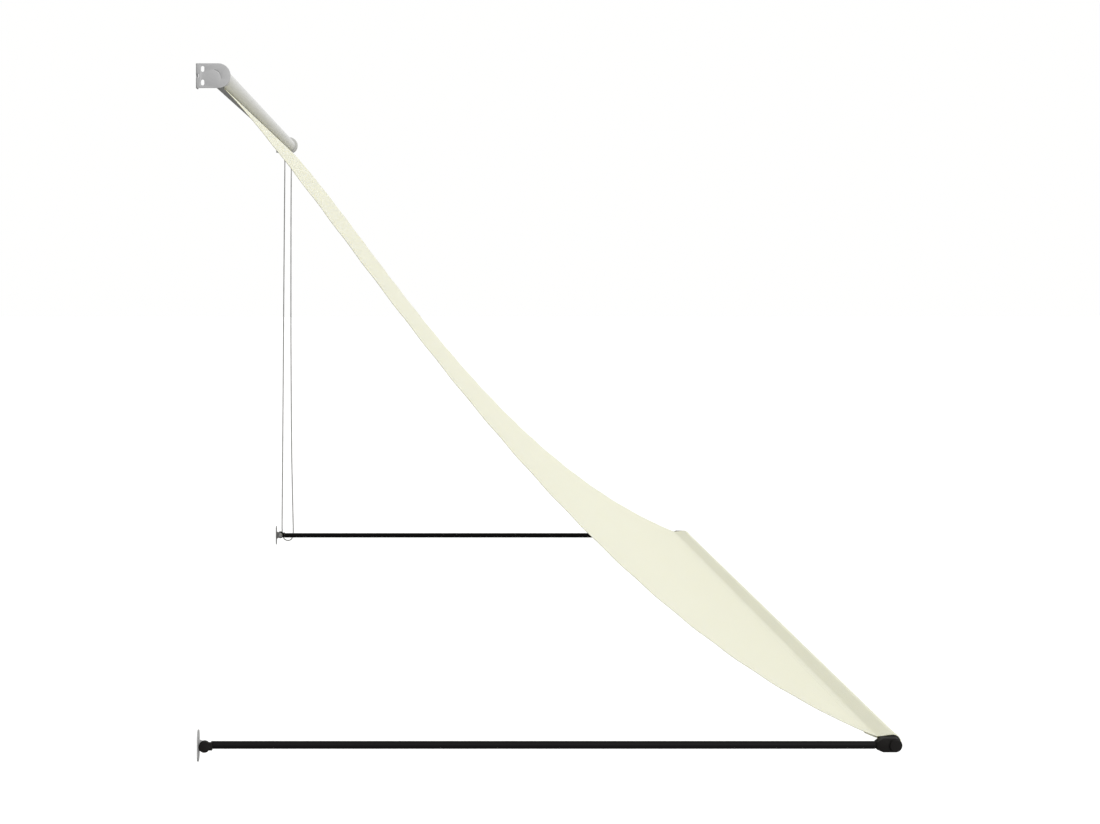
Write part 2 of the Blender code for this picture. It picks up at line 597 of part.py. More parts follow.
def front_knuckle(side):
    """Moulded block with a flared back, a round nose over the bar journal and a plug for the arm."""
    bar = (BAR_OUT, BAR_RISE)
    back = BAR_OUT - KNUCKLE_BACK
    flare = back + FLARE_LENGTH
    edge = [(back, -KNUCKLE_NECK), (flare, BAR_RISE - KNUCKLE_RADIUS)]
    edge += arc(bar, KNUCKLE_RADIUS, -math.pi / 2, math.pi / 2, 18)
    edge += [(flare, BAR_RISE + KNUCKLE_RADIUS), (back, KNUCKLE_NECK)]
    ends = across(side, KNUCKLE_INSET), across(side, KNUCKLE_INSET + KNUCKLE_WIDTH)
    piece = prism(f"front_knuckle_{side}", [edge], *ends, BLACK_PLASTIC)
    soften = piece.modifiers.new("soft_edges", "BEVEL")
    soften.width = KNUCKLE_EDGE
    soften.segments = 2
    soften.limit_method = "ANGLE"
    soften.angle_limit = math.radians(60.0)

    fit = ARM_RADIUS - ARM_WALL - SEAT_GAP
    tube_end = BAR_OUT - ARM_END_SETBACK
    collar = tube_end + SEAT_GAP
    plug_end = tube_end - PLUG_LENGTH
    neck = KNUCKLE_NECK - SEAT_GAP
    profile = [(plug_end, 0.0), (plug_end, fit), (collar, fit), (collar, neck), (flare, neck), (flare, 0.0)]
    centre = (across(side, ARM_INSET), 0.0)
    combine(piece, turned(f"front_plug_{side}", profile, centre, BLACK_PLASTIC, along="X"), "UNION")

    bore_edge = circle(bar, JOURNAL_RADIUS + RUNNING_GAP, 28)
    ends = across(side, 0.0), across(side, KNUCKLE_INSET + 2 * KNUCKLE_WIDTH)
    combine(piece, prism(f"journal_bore_{side}", [bore_edge], *ends, BLACK_PLASTIC), "DIFFERENCE")
    return piece


def bar_tube():
    """Front bar, a round tube carried at both ends by its plugs."""
    inset = KNUCKLE_INSET + KNUCKLE_WIDTH + SIDE_PLAY
    start, end = across(LEFT, inset), across(RIGHT, inset)
    bore = BAR_RADIUS - BAR_WALL
    ring = [(start, bore), (start, BAR_RADIUS), (end, BAR_RADIUS), (end, bore)]
    return turned("front_bar", ring, (BAR_OUT, BAR_RISE), GREY_STEEL, ring=True)


def bar_end(side):
    """Plug whose journal turns in the knuckle, and the round cap pressed into the journal."""
    bar = (BAR_OUT, BAR_RISE)
    journal_start = KNUCKLE_INSET + SEAT_GAP
    bar_start = KNUCKLE_INSET + KNUCKLE_WIDTH + SIDE_PLAY
    plug_end = bar_start + BAR_PLUG_REACH
    fit = BAR_RADIUS - BAR_WALL - SEAT_GAP
    bore = CAP_PIN_RADIUS + SEAT_GAP
    floor = journal_start + CAP_PIN_LENGTH
    profile = [
        (floor, 0.0), (floor, bore), (journal_start, bore), (journal_start, JOURNAL_RADIUS),
        (bar_start, JOURNAL_RADIUS), (bar_start, fit), (plug_end, fit), (plug_end, 0.0),
    ]
    placed = [(across(side, inset), radius) for inset, radius in profile]
    plug = turned(f"bar_plug_{side}", placed, bar, BLACK_PLASTIC)

    face = KNUCKLE_INSET - SEAT_GAP - CAP_THICKNESS
    back = KNUCKLE_INSET - SEAT_GAP
    profile = [
        (face, 0.0), (face, CAP_RADIUS - CAP_CHAMFER), (face + CAP_CHAMFER, CAP_RADIUS), (back, CAP_RADIUS),
        (back, CAP_PIN_RADIUS), (floor - SEAT_GAP, CAP_PIN_RADIUS), (floor - SEAT_GAP, 0.0),
    ]
    placed = [(across(side, inset), radius) for inset, radius in profile]
    cap = turned(f"bar_cap_{side}", placed, bar, BLACK_PLASTIC)
    return plug, cap


def cloth_line():
    """Centre line of the cloth from the channel's throat to the tip of the bar pocket."""
    pocket = WELT_RADIUS + SEAT_GAP
    throat = Vector(channel_point(ROLLER_RADIUS - CHANNEL_DEPTH + pocket, 0.0))
    top = Vector(channel_point(ROLLER_RADIUS + CLOTH_THICKNESS / 2, 0.0))
    run_in = Vector((math.cos(FRONT_SLOPE), -math.sin(FRONT_SLOPE)))
    bearing = Vector((-math.cos(POCKET_BEARING), math.sin(POCKET_BEARING)))
    tip = Vector((BAR_OUT, BAR_RISE)) + bearing * POCKET_TIP
    top_handle = top + Vector((math.cos(TOP_SLOPE), -math.sin(TOP_SLOPE))) * TOP_REACH
    tip_handle = tip - run_in * FRONT_REACH
    line = [throat]
    for step in range(CLOTH_STEPS + 1):
        t = step / CLOTH_STEPS
        s = 1.0 - t
        line.append(s**3 * top + 3 * s * s * t * top_handle + 3 * s * t * t * tip_handle + t**3 * tip)
    return line


def beside(line, distance):
    """The line's points moved sideways to its left by distance."""
    moved = []
    for index, point in enumerate(line):
        before = line[max(index - 1, 0)]
        after = line[min(index + 1, len(line) - 1)]
        run = (after - before).normalized()
        moved.append((point.x - run.y * distance, point.y + run.x * distance))
    return moved


def canopy():
    """Cloth sheet with a pocket that wraps the front bar."""
    line = cloth_line()
    bar = (BAR_OUT, BAR_RISE)
    pocket_inside = BAR_RADIUS + SEAT_GAP
    pocket_outside = pocket_inside + CLOTH_THICKNESS
    run_back = math.pi - POCKET_BEARING
    spread = math.acos(pocket_outside / POCKET_TIP)
    above = beside(line, CLOTH_THICKNESS / 2)[:-1]
    below = beside(line, -CLOTH_THICKNESS / 2)[:-1]
    loop = arc(bar, pocket_outside, run_back - spread, run_back + spread - 2 * math.pi, 20)
    outside = above + loop + below[::-1]
    inner_tip = POCKET_TIP * pocket_inside / pocket_outside
    tip = (bar[0] + inner_tip * math.cos(run_back), bar[1] + inner_tip * math.sin(run_back))
    inside = [tip] + arc(bar, pocket_inside, run_back - spread, run_back + spread - 2 * math.pi, 20)
    ends = across(LEFT, CLOTH_INSET), across(RIGHT, CLOTH_INSET)
    return prism("canopy", [outside, inside], *ends, CREAM_CLOTH)


def smooth_route(route):
    """Points of a Catmull-Rom curve through the route, closer together where the route's points are."""
    stops = [Vector(stop) for stop in route]
    points = []
    for index in range(len(stops) - 1):
        before, after = stops[max(index - 1, 0)], stops[min(index + 2, len(stops) - 1)]
        start, end = stops[index], stops[index + 1]
        for part in range(CORD_PARTS):
            t = part / CORD_PARTS
            bend = 2 * start + (end - before) * t + (2 * before - 5 * start + 4 * end - after) * t**2
            points.append((bend + (3 * start - before - 3 * end + after) * t**3) / 2)
    points.append(stops[-1])
    return points


def pull_cord():
    """Loop of round cord, from the top of the wheel down, round its bight and back up."""
    bend = bpy.data.curves.new("pull_cord", "CURVE")
    bend.dimensions = "3D"
    bend.bevel_depth = CORD_RADIUS
    bend.bevel_resolution = 2
    bend.use_fill_caps = True
    places = smooth_route(CORD_ROUTE)
    cord = bend.splines.new("POLY")
    cord.points.add(len(places) - 1)
    for point, place in zip(cord.points, places):
        point.co = (place.x, across(RIGHT, CORD_INSET), place.y, 1.0)
    bend.materials.append(finish_material(GREY_CORD))
    piece = bpy.data.objects.new("pull_cord", bend)
    bpy.context.scene.collection.objects.link(piece)
    return piece


def build():
    """Make every piece and hang the moving ones on their joints' pivots."""
    lift_axis = add_pivot("arm_lift_axis", (ARM_PIVOT_OUT, 0.0, 0.0))
    roller_axis = add_pivot("roller_axis", (ROLLER_OUT, 0.0, ROLLER_UP))
    bar_axis = add_pivot("bar_axis", (BAR_OUT, 0.0, BAR_RISE))

    pin, bush, idle_plug = idle_end()
    drive_bore = POST_RADIUS + 2 * RUNNING_GAP + SPRING_WIRE + RUNNING_GAP
    drive_plug = tube_plug("drive_plug", RIGHT, drive_bore, None)
    for piece in (roller_tube(), welt_rod(), bush, idle_plug, drive_plug, cord_wheel()):
        hang_on(piece, roller_axis)
    clutch_post()
    clutch_spring()
    cord_guard()
    pull_cord()
    canopy()
    hang_on(bar_tube(), bar_axis)
    for side in SIDES:
        roller_bracket(side)
        arm_bracket(side)
        washer, screw = pivot_fastening(side)
        for piece in (wall_knuckle(side), washer, screw, arm_tube(side), front_knuckle(side)):
            hang_on(piece, lift_axis)
        for piece in bar_end(side):
            hang_on(piece, bar_axis)


for leftover in list(bpy.data.objects):
    bpy.data.objects.remove(leftover, do_unlink=True)
build()
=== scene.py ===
# %% [markdown]
# # A drop-arm canvas awning
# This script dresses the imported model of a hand-worked window awning. The model gives every solid its
# place; the script adds what a solid doesn't have: the cloth's weave and hems, the cord's braid, soft
# edges on folded steel and moulded plastic, and the studio in which it stands.
# All lengths are in metres. X leaves the wall, Y runs along it and Z is up.

import math

import bmesh
import bpy
import numpy as np
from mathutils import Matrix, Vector


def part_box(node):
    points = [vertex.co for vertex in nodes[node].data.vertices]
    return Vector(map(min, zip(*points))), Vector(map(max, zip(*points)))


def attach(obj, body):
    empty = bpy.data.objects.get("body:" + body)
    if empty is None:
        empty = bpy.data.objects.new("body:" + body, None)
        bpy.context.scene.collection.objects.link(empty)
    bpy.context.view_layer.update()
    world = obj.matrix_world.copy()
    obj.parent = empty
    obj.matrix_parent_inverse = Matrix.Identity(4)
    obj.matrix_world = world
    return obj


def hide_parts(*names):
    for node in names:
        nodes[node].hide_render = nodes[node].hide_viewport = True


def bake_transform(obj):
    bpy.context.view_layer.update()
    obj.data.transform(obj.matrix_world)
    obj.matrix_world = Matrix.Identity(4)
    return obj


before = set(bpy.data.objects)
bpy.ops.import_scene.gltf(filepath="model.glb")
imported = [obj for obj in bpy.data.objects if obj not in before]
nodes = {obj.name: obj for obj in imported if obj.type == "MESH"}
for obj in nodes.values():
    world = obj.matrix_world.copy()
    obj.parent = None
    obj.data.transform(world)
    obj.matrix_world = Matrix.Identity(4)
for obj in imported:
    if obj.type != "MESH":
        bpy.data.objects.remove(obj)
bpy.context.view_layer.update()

# %% [markdown]
# ## Camera
# The photograph is a one-point view: everything that runs along the wall meets at one point. So the
# camera looks straight along Y, and the lens is shifted, as an architect's camera is, to bring the
# awning into the middle of the picture without tilting its upright lines.

# %% Camera
IMAGE_WIDTH = 1100
FOCAL_PIXELS = 1724.0
MEETING_POINT = (386.0, 240.4)
IMAGE_MIDDLE = (550.0, 412.0)
SENSOR_WIDTH = 36.0
CAMERA_PLACE = (0.298, -2.7271, 0.7989)

lens = bpy.data.cameras.new("photo_camera")
lens.sensor_width = SENSOR_WIDTH
lens.lens = FOCAL_PIXELS / IMAGE_WIDTH * SENSOR_WIDTH
lens.shift_x = (IMAGE_MIDDLE[0] - MEETING_POINT[0]) / IMAGE_WIDTH
lens.shift_y = (MEETING_POINT[1] - IMAGE_MIDDLE[1]) / IMAGE_WIDTH
camera = bpy.data.objects.new("photo_camera", lens)
camera.location = CAMERA_PLACE
camera.rotation_euler = (math.radians(90.0), 0.0, 0.0)
bpy.context.scene.collection.objects.link(camera)
bpy.context.scene.camera = camera
bpy.context.scene.view_settings.view_transform = "Standard"
print("lens", round(lens.lens, 2), "mm, shift", round(lens.shift_x, 4), round(lens.shift_y, 4))

# %% [markdown]
# ## Helpers for materials
# A material is a small graph of nodes. These helpers add a node, join two sockets, and start a finish
# with its plain values set on the shader itself, so that they survive an export.

# %% Material helpers
def node(tree, kind, **settings):
    """Add a node and set its properties, and its inputs where the key is the name of an input."""
    made = tree.nodes.new(kind)
    for key, value in settings.items():
        if key in made.inputs:
            made.inputs[key].default_value = value
        else:
            setattr(made, key, value)
    return made


def join(tree, start, end):
    tree.links.new(start, end)


def math_node(tree, operation, first, second=None):
    """One sum on two sockets or numbers."""
    made = tree.nodes.new("ShaderNodeMath")
    made.operation = operation
    for place, value in enumerate((first, second)):
        if value is None:
            continue
        if isinstance(value, (int, float)):
            made.inputs[place].default_value = value
        else:
            join(tree, value, made.inputs[place])
    return made.outputs[0]


def start_finish(name, colour, roughness, metallic=0.0, **sockets):
    """A material with one Principled shader, and that shader."""
    material = bpy.data.materials.new(name)
    material.use_nodes = True
    tree = material.node_tree
    shader = tree.nodes["Principled BSDF"]
    shader.inputs["Base Color"].default_value = (*colour, 1.0)
    shader.inputs["Roughness"].default_value = roughness
    shader.inputs["Metallic"].default_value = metallic
    for key, value in sockets.items():
        shader.inputs[key.replace("_", " ")].default_value = value
    material.diffuse_color = (*colour, 1.0)
    return material, tree, shader


def object_place(tree, stretch=(1.0, 1.0, 1.0)):
    """Object coordinates, squeezed or stretched along the axes."""
    coordinates = node(tree, "ShaderNodeTexCoord")
    mapping = node(tree, "ShaderNodeMapping")
    mapping.inputs["Scale"].default_value = stretch
    join(tree, coordinates.outputs["Object"], mapping.inputs["Vector"])
    return mapping.outputs["Vector"]


def noise(tree, place, scale, detail=3.0, roughness=0.5):
    made = node(tree, "ShaderNodeTexNoise", Scale=scale, Detail=detail, Roughness=roughness)
    join(tree, place, made.inputs["Vector"])
    return made.outputs["Fac"]


def between(tree, value, low, high, start=0.0, end=1.0):
    """Map a value that runs from start to end on to a range from low to high."""
    made = node(tree, "ShaderNodeMapRange")
    for title, limit in (("From Min", start), ("From Max", end), ("To Min", low), ("To Max", high)):
        made.inputs[title].default_value = limit
    join(tree, value, made.inputs["Value"])
    return made.outputs["Result"]


def tint(tree, shader, factor, dark, light):
    """Colour that wanders between two close tones."""
    ramp = node(tree, "ShaderNodeMix", data_type="RGBA")
    ramp.inputs[6].default_value = (*dark, 1.0)
    ramp.inputs[7].default_value = (*light, 1.0)
    join(tree, factor, ramp.inputs[0])
    join(tree, ramp.outputs[2], shader.inputs["Base Color"])


def relief(tree, shader, height, strength, distance):
    """Bump from a height."""
    bump = node(tree, "ShaderNodeBump", Strength=strength, Distance=distance)
    join(tree, height, bump.inputs["Height"])
    join(tree, bump.outputs["Normal"], shader.inputs["Normal"])


def shade(colour, amount):
    return tuple(channel * amount for channel in colour)

# %% [markdown]
# ## Coated steel
# The brackets are folded from sheet and powder coated. The powder melts into a skin that is almost
# smooth but keeps a fine ripple, called orange peel, about a millimetre across. Two noises make it:
# a fine one for the ripple and a broad, weak one for the slight unevenness of tone.

# %% Coated steel
def coated_steel(name, colour, roughness=0.48, ripple=0.25, specular=0.4):
    material, tree, shader = start_finish(name, colour, roughness, Specular_IOR_Level=specular)
    place = object_place(tree)
    tint(tree, shader, noise(tree, place, scale=24.0), shade(colour, 0.985), shade(colour, 1.015))
    peel = noise(tree, place, scale=1100.0, detail=2.0)
    join(tree, between(tree, peel, low=roughness - 0.05, high=roughness + 0.05), shader.inputs["Roughness"])
    relief(tree, shader, peel, strength=ripple, distance=0.00012)
    return material


BRACKET_GREY = (0.50, 0.50, 0.50)
PLATE_GREY = (0.42, 0.42, 0.42)
# The front bar's coat is set near black. Where the bar shows between a knuckle and the cloth's edge, it
# gives that gap a painted shade.
BAR_PAINTED_SHADE = (0.030, 0.029, 0.029)
ARM_BLACK = (0.0075, 0.0070, 0.0072)
bracket_coat = coated_steel("bracket_coat", BRACKET_GREY)
plate_coat = coated_steel("plate_coat", PLATE_GREY)
arm_coat = coated_steel("arm_coat", ARM_BLACK, roughness=0.50, ripple=0.2, specular=0.08)
# The bar's near-black coat is a painted shade for the gap between knuckle and cloth.
bar_coat_painted_shade = coated_steel("bar_coat_painted_shade", BAR_PAINTED_SHADE, roughness=0.5)
print("coated steel: bracket, plate, arm and bar")

# %% [markdown]
# ## Roller extrusion
# The roller is pushed through a die, so faint lines run along its whole length. Noise that is stretched
# two hundred and fifty times along Y gives lines that are thin across the tube and long down it.

# %% Roller finish
ROLLER_GREY = (0.66, 0.66, 0.64)
roller_coat, tree, shader = start_finish("roller_coat", ROLLER_GREY, roughness=0.52, Specular_IOR_Level=0.12)
lines = noise(tree, object_place(tree, (1.0, 0.004, 1.0)), scale=320.0, detail=1.0)
tint(tree, shader, lines, shade(ROLLER_GREY, 0.985), shade(ROLLER_GREY, 1.015))
join(tree, between(tree, lines, low=0.49, high=0.55), shader.inputs["Roughness"])
relief(tree, shader, lines, strength=0.04, distance=0.00002)
print("roller finish with die lines")

# %% [markdown]
# ## Moulded plastic
# The knuckles, caps and plugs come out of a mould whose walls are spark-eroded, which leaves a fine,
# even grain. A high noise does for the grain, and the roughness follows it a little.

# %% Moulded plastic
def moulded_plastic(name, colour, roughness, grain=0.3, specular=0.3):
    material, tree, shader = start_finish(name, colour, roughness, Specular_IOR_Level=specular)
    place = object_place(tree)
    tint(tree, shader, noise(tree, place, scale=60.0), shade(colour, 0.93), shade(colour, 1.07))
    pits = noise(tree, place, scale=2600.0, detail=3.0, roughness=0.6)
    join(tree, between(tree, pits, low=roughness - 0.06, high=roughness + 0.08), shader.inputs["Roughness"])
    relief(tree, shader, pits, strength=grain, distance=0.00009)
    return material


BLACK_PLASTIC = (0.0150, 0.0138, 0.0132)
GREY_PLASTIC = (0.48, 0.48, 0.46)
WHITE_PLASTIC = (0.72, 0.72, 0.70)
black_plastic = moulded_plastic("black_plastic_grain", BLACK_PLASTIC, roughness=0.50, specular=0.07)
grey_plastic = moulded_plastic("grey_plastic_grain", GREY_PLASTIC, roughness=0.48, grain=0.2)
white_plastic = moulded_plastic("white_plastic_grain", WHITE_PLASTIC, roughness=0.42, grain=0.2)
print("moulded plastic: black, grey and white")

# %% [markdown]
# ## Zinc-plated steel
# The screws, washers and pin are turned steel with a thin bright plating, and the wrap spring has the
# same finish. Turning leaves rings round the parts' common axis, Y, so the noise for the bump is drawn
# out across that axis and stays fine along it.

# %% Plated steel
PLATED = (0.60, 0.60, 0.61)
plated_steel, tree, shader = start_finish("plated_steel", PLATED, roughness=0.30, metallic=1.0)
place = object_place(tree, (0.15, 1.0, 0.15))
rings = noise(tree, place, scale=2400.0, detail=2.0)
tint(tree, shader, noise(tree, object_place(tree), scale=180.0), shade(PLATED, 0.9), shade(PLATED, 1.06))
join(tree, between(tree, rings, low=0.24, high=0.38), shader.inputs["Roughness"])
relief(tree, shader, rings, strength=0.25, distance=0.00006)
print("plated steel")

# %% [markdown]
# ## Canvas
# The cloth is a plain weave: each thread goes over one and under one. Its UV map is in metres along and
# across the cloth, so the weave stays on the cloth where it curves. A chequer says which of the two
# threads is on top, and a half sine across that thread makes it round. Some of the light goes through
# the cloth, so its underside glows a little in the shade.

# %% Canvas finish
CREAM = (0.690, 0.680, 0.522)
THREAD_PITCH = 0.00075
LIGHT_THROUGH = 0.65
THROUGH_DEPTH = 0.0022
canvas, tree, shader = start_finish(
    "cream_canvas", CREAM, roughness=0.86, Specular_IOR_Level=0.18, Subsurface_Weight=LIGHT_THROUGH,
    Subsurface_Scale=THROUGH_DEPTH, Subsurface_Radius=(1.0, 0.95, 0.75),
)
cloth_map = node(tree, "ShaderNodeUVMap", uv_map="UVMap")
parts = node(tree, "ShaderNodeSeparateXYZ")
join(tree, cloth_map.outputs["UV"], parts.inputs["Vector"])
across_threads = math_node(tree, "DIVIDE", parts.outputs["X"], THREAD_PITCH)
along_threads = math_node(tree, "DIVIDE", parts.outputs["Y"], THREAD_PITCH)


def round_thread(threads):
    """A half sine over each thread."""
    wave = math_node(tree, "SINE", math_node(tree, "MULTIPLY", threads, math.pi))
    return math_node(tree, "ABSOLUTE", wave)


crossing = math_node(
    tree, "ADD", math_node(tree, "FLOOR", across_threads), math_node(tree, "FLOOR", along_threads))
chequer = math_node(tree, "ABSOLUTE", math_node(tree, "MODULO", crossing, 2.0))
over = math_node(tree, "MULTIPLY", round_thread(across_threads), chequer)
under = math_node(tree, "MULTIPLY", round_thread(along_threads), math_node(tree, "SUBTRACT", 1.0, chequer))
weave = math_node(tree, "ADD", over, under)
slub_map = node(tree, "ShaderNodeMapping")
slub_map.inputs["Scale"].default_value = (60.0, 1.0, 1.0)
join(tree, cloth_map.outputs["UV"], slub_map.inputs["Vector"])
slubs = noise(tree, slub_map.outputs["Vector"], scale=14.0, detail=4.0, roughness=0.6)
tint(tree, shader, slubs, shade(CREAM, 0.975), shade(CREAM, 1.02))
relief(tree, shader, weave, strength=0.25, distance=0.00015)
print("canvas with threads", THREAD_PITCH * 1000, "mm apart")

# %% Thread finish
THREAD = (0.80, 0.79, 0.66)
thread_finish, tree, shader = start_finish("sewing_thread", THREAD, roughness=0.7, Specular_IOR_Level=0.25)
twist = noise(tree, object_place(tree), scale=3200.0, detail=2.0)
tint(tree, shader, twist, shade(THREAD, 0.9), shade(THREAD, 1.05))
relief(tree, shader, twist, strength=0.3, distance=0.0001)
print("sewing thread")

# %% [markdown]
# ## Stage
# An awning hangs high on a wall, so the floor lies two metres below its arms. Floor and background
# look white to the camera, while for the light that they throw back at the awning the floor is dark on
# the wall's side and a mid grey in front: that keeps the undersides darker than the tops.

# %% Floor
FLOOR_DOWN = 2.0
FLOOR_REACH = 60.0
FLOOR_THROW = (0.12, 0.42)
DUSK_REACH = 1.5


def looked_at(tree):
    """1 for rays that come straight from the camera, or through something clear, and 0 for the rest."""
    rays = node(tree, "ShaderNodeLightPath")
    return math_node(tree, "MAXIMUM", rays.outputs["Is Camera Ray"], rays.outputs["Is Transmission Ray"])


stage_paint = bpy.data.materials.new("stage_paint")
stage_paint.use_nodes = True
tree = stage_paint.node_tree
tree.nodes.clear()
pale = node(tree, "ShaderNodeBsdfDiffuse", Color=(0.97, 0.97, 0.965, 1.0))
lift = node(tree, "ShaderNodeEmission", Color=(1.0, 1.0, 0.995, 1.0), Strength=0.12)
white = node(tree, "ShaderNodeAddShader")
join(tree, pale.outputs[0], white.inputs[0])
join(tree, lift.outputs[0], white.inputs[1])
grey = node(tree, "ShaderNodeBsdfDiffuse")
spot = node(tree, "ShaderNodeSeparateXYZ")
join(tree, node(tree, "ShaderNodeNewGeometry").outputs["Position"], spot.inputs["Vector"])
throw = between(tree, spot.outputs["X"], *FLOOR_THROW, start=-DUSK_REACH, end=DUSK_REACH)
join(tree, throw, grey.inputs["Color"])
choice = node(tree, "ShaderNodeMixShader")
join(tree, looked_at(tree), choice.inputs[0])
join(tree, grey.outputs[0], choice.inputs[1])
join(tree, white.outputs[0], choice.inputs[2])
join(tree, choice.outputs[0], node(tree, "ShaderNodeOutputMaterial").inputs["Surface"])

floor_mesh = bpy.data.meshes.new("studio_floor")
corners = [(-1, -1), (1, -1), (1, 1), (-1, 1)]
floor_points = [(a * FLOOR_REACH, b * FLOOR_REACH, -FLOOR_DOWN) for a, b in corners]
floor_mesh.from_pydata(floor_points, [], [(0, 1, 2, 3)])
floor_mesh.materials.append(stage_paint)
studio_floor = bpy.data.objects.new("studio_floor", floor_mesh)
bpy.context.scene.collection.objects.link(studio_floor)
print("floor", FLOOR_DOWN, "m below the arms")

# %% [markdown]
# ## Light
# A pale sky gives most of the light. It is weaker on the side where the wall would be. A broad sun from
# the upper right, in front, gives the roller its lighter flank and the cloth its even tone. A face that
# looks at the camera shows a little darker than its colour is written.

# %% World and sun
SKY_STRENGTH = (0.50, 1.04)
SKY_TURN = 0.7
SUN_STRENGTH = 1.45
SUN_SPREAD = math.radians(35.0)
SUN_FROM = (0.5, -0.75, 0.62)
sky = bpy.data.worlds.new("studio_sky")
bpy.context.scene.world = sky
sky.use_nodes = True
tree = sky.node_tree
tree.nodes.clear()
soft = node(tree, "ShaderNodeBackground", Color=(1.0, 1.0, 1.0, 1.0))
aim = node(tree, "ShaderNodeSeparateXYZ")
join(tree, node(tree, "ShaderNodeTexCoord").outputs["Generated"], aim.inputs["Vector"])
glow = between(tree, aim.outputs["X"], *SKY_STRENGTH, start=-SKY_TURN, end=SKY_TURN)
join(tree, glow, soft.inputs["Strength"])
bright = node(tree, "ShaderNodeBackground", Color=(1.0, 1.0, 0.995, 1.0), Strength=1.0)
choice = node(tree, "ShaderNodeMixShader")
join(tree, looked_at(tree), choice.inputs[0])
join(tree, soft.outputs[0], choice.inputs[1])
join(tree, bright.outputs[0], choice.inputs[2])
join(tree, choice.outputs[0], node(tree, "ShaderNodeOutputWorld").inputs["Surface"])

sun_light = bpy.data.lights.new("soft_sun", "SUN")
sun_light.energy = SUN_STRENGTH
sun_light.angle = SUN_SPREAD
soft_sun = bpy.data.objects.new("soft_sun", sun_light)
soft_sun.rotation_euler = Vector(SUN_FROM).to_track_quat("Z", "Y").to_euler()
bpy.context.scene.collection.objects.link(soft_sun)
print("sky", SKY_STRENGTH, "sun", SUN_STRENGTH)

# %% [markdown]
# ## The cord
# The drive is worked by an endless cord. It hangs over a wheel behind the right-hand bracket, and both
# strands fall almost straight to a small bight at the bottom. Eight yarns are braided round a core, so
# the surface is a chain of small lozenges. The route repeats that of the solid; the tube that follows it
# is pushed in and out by two opposite spirals, which is what a braid looks like.

# %% Cord route
CORD_RADIUS = 0.0015
CORD_ACROSS = 1.9639
CORD_PARTS = 8
CORD_ROUTE = (
    (0.0343, 1.0665), (0.0296, 1.0648), (0.0265, 1.0610), (0.0256, 1.0570), (0.0248, 1.0490),
    (0.0232, 1.0260), (0.0225, 0.961), (0.0208, 0.771), (0.0188, 0.499), (0.0169, 0.227), (0.0154, 0.050),
    (0.0155, 0.008), (0.0167, -0.0035), (0.0201, -0.0115), (0.0253, -0.0161), (0.0313, -0.0175),
    (0.0375, -0.0161), (0.0423, -0.0115), (0.0450, -0.0035), (0.0457, 0.008), (0.0449, 0.050),
    (0.0414, 0.227), (0.0395, 0.499), (0.0394, 0.771), (0.0399, 0.940), (0.0411, 1.0180), (0.0435, 1.0440),
    (0.0446, 1.0570), (0.0437, 1.0610), (0.0406, 1.0648), (0.0359, 1.0665),
)


def smooth_route(stops, parts):
    """Points of a Catmull-Rom curve through the stops."""
    stops = [np.array(stop, float) for stop in stops]
    points = []
    for index in range(len(stops) - 1):
        before, after = stops[max(index - 1, 0)], stops[min(index + 2, len(stops) - 1)]
        start, end = stops[index], stops[index + 1]
        for part in range(parts):
            t = part / parts
            bend = 2 * start + (end - before) * t + (2 * before - 5 * start + 4 * end - after) * t**2
            points.append((bend + (3 * start - before - 3 * end + after) * t**3) / 2)
    return np.array(points + [stops[-1]])


route = smooth_route(CORD_ROUTE, CORD_PARTS)
cord_line = np.column_stack([route[:, 0], np.full(len(route), CORD_ACROSS), route[:, 1]])

# %% Braided cord
BRAID_PITCH = 0.009
BRAID_YARNS = 4
BRAID_DEPTH = 0.00013
RING_SPACING = 0.0011


def path_object(name, paths):
    """One bare curve object with a polyline for each path."""
    joined = bpy.data.curves.new(name, "CURVE")
    joined.dimensions = "3D"
    for points in paths:
        spline = joined.splines.new("POLY")
        spline.points.add(len(points) - 1)
        for knot, point in zip(spline.points, points):
            knot.co = (*point, 1.0)
    made = bpy.data.objects.new(name, joined)
    bpy.context.scene.collection.objects.link(made)
    return made


def tree_with(name, inputs):
    """An empty Geometry Nodes tree with a geometry input, a geometry output and named inputs."""
    made = bpy.data.node_groups.new(name, "GeometryNodeTree")
    made.interface.new_socket("Geometry", in_out="INPUT", socket_type="NodeSocketGeometry")
    made.interface.new_socket("Geometry", in_out="OUTPUT", socket_type="NodeSocketGeometry")
    for title, kind in inputs:
        made.interface.new_socket(title, in_out="INPUT", socket_type=kind)
    return made, made.nodes.new("NodeGroupInput"), made.nodes.new("NodeGroupOutput")


def bake_with(owner, group, values, name):
    """Run a tree on an object with the given inputs, and turn the result into a plain mesh object."""
    modifier = owner.modifiers.new(group.name, "NODES")
    modifier.node_group = group
    for item in group.interface.items_tree:
        if item.in_out == "INPUT" and item.name in values:
            modifier[item.identifier] = values[item.name]
    bpy.context.view_layer.update()
    evaluated = owner.evaluated_get(bpy.context.evaluated_depsgraph_get())
    mesh = bpy.data.meshes.new_from_object(evaluated)
    mesh.name = name
    bpy.data.objects.remove(owner)
    made = bpy.data.objects.new(name, mesh)
    bpy.context.scene.collection.objects.link(made)
    print(name, len(mesh.polygons), "faces")
    return made


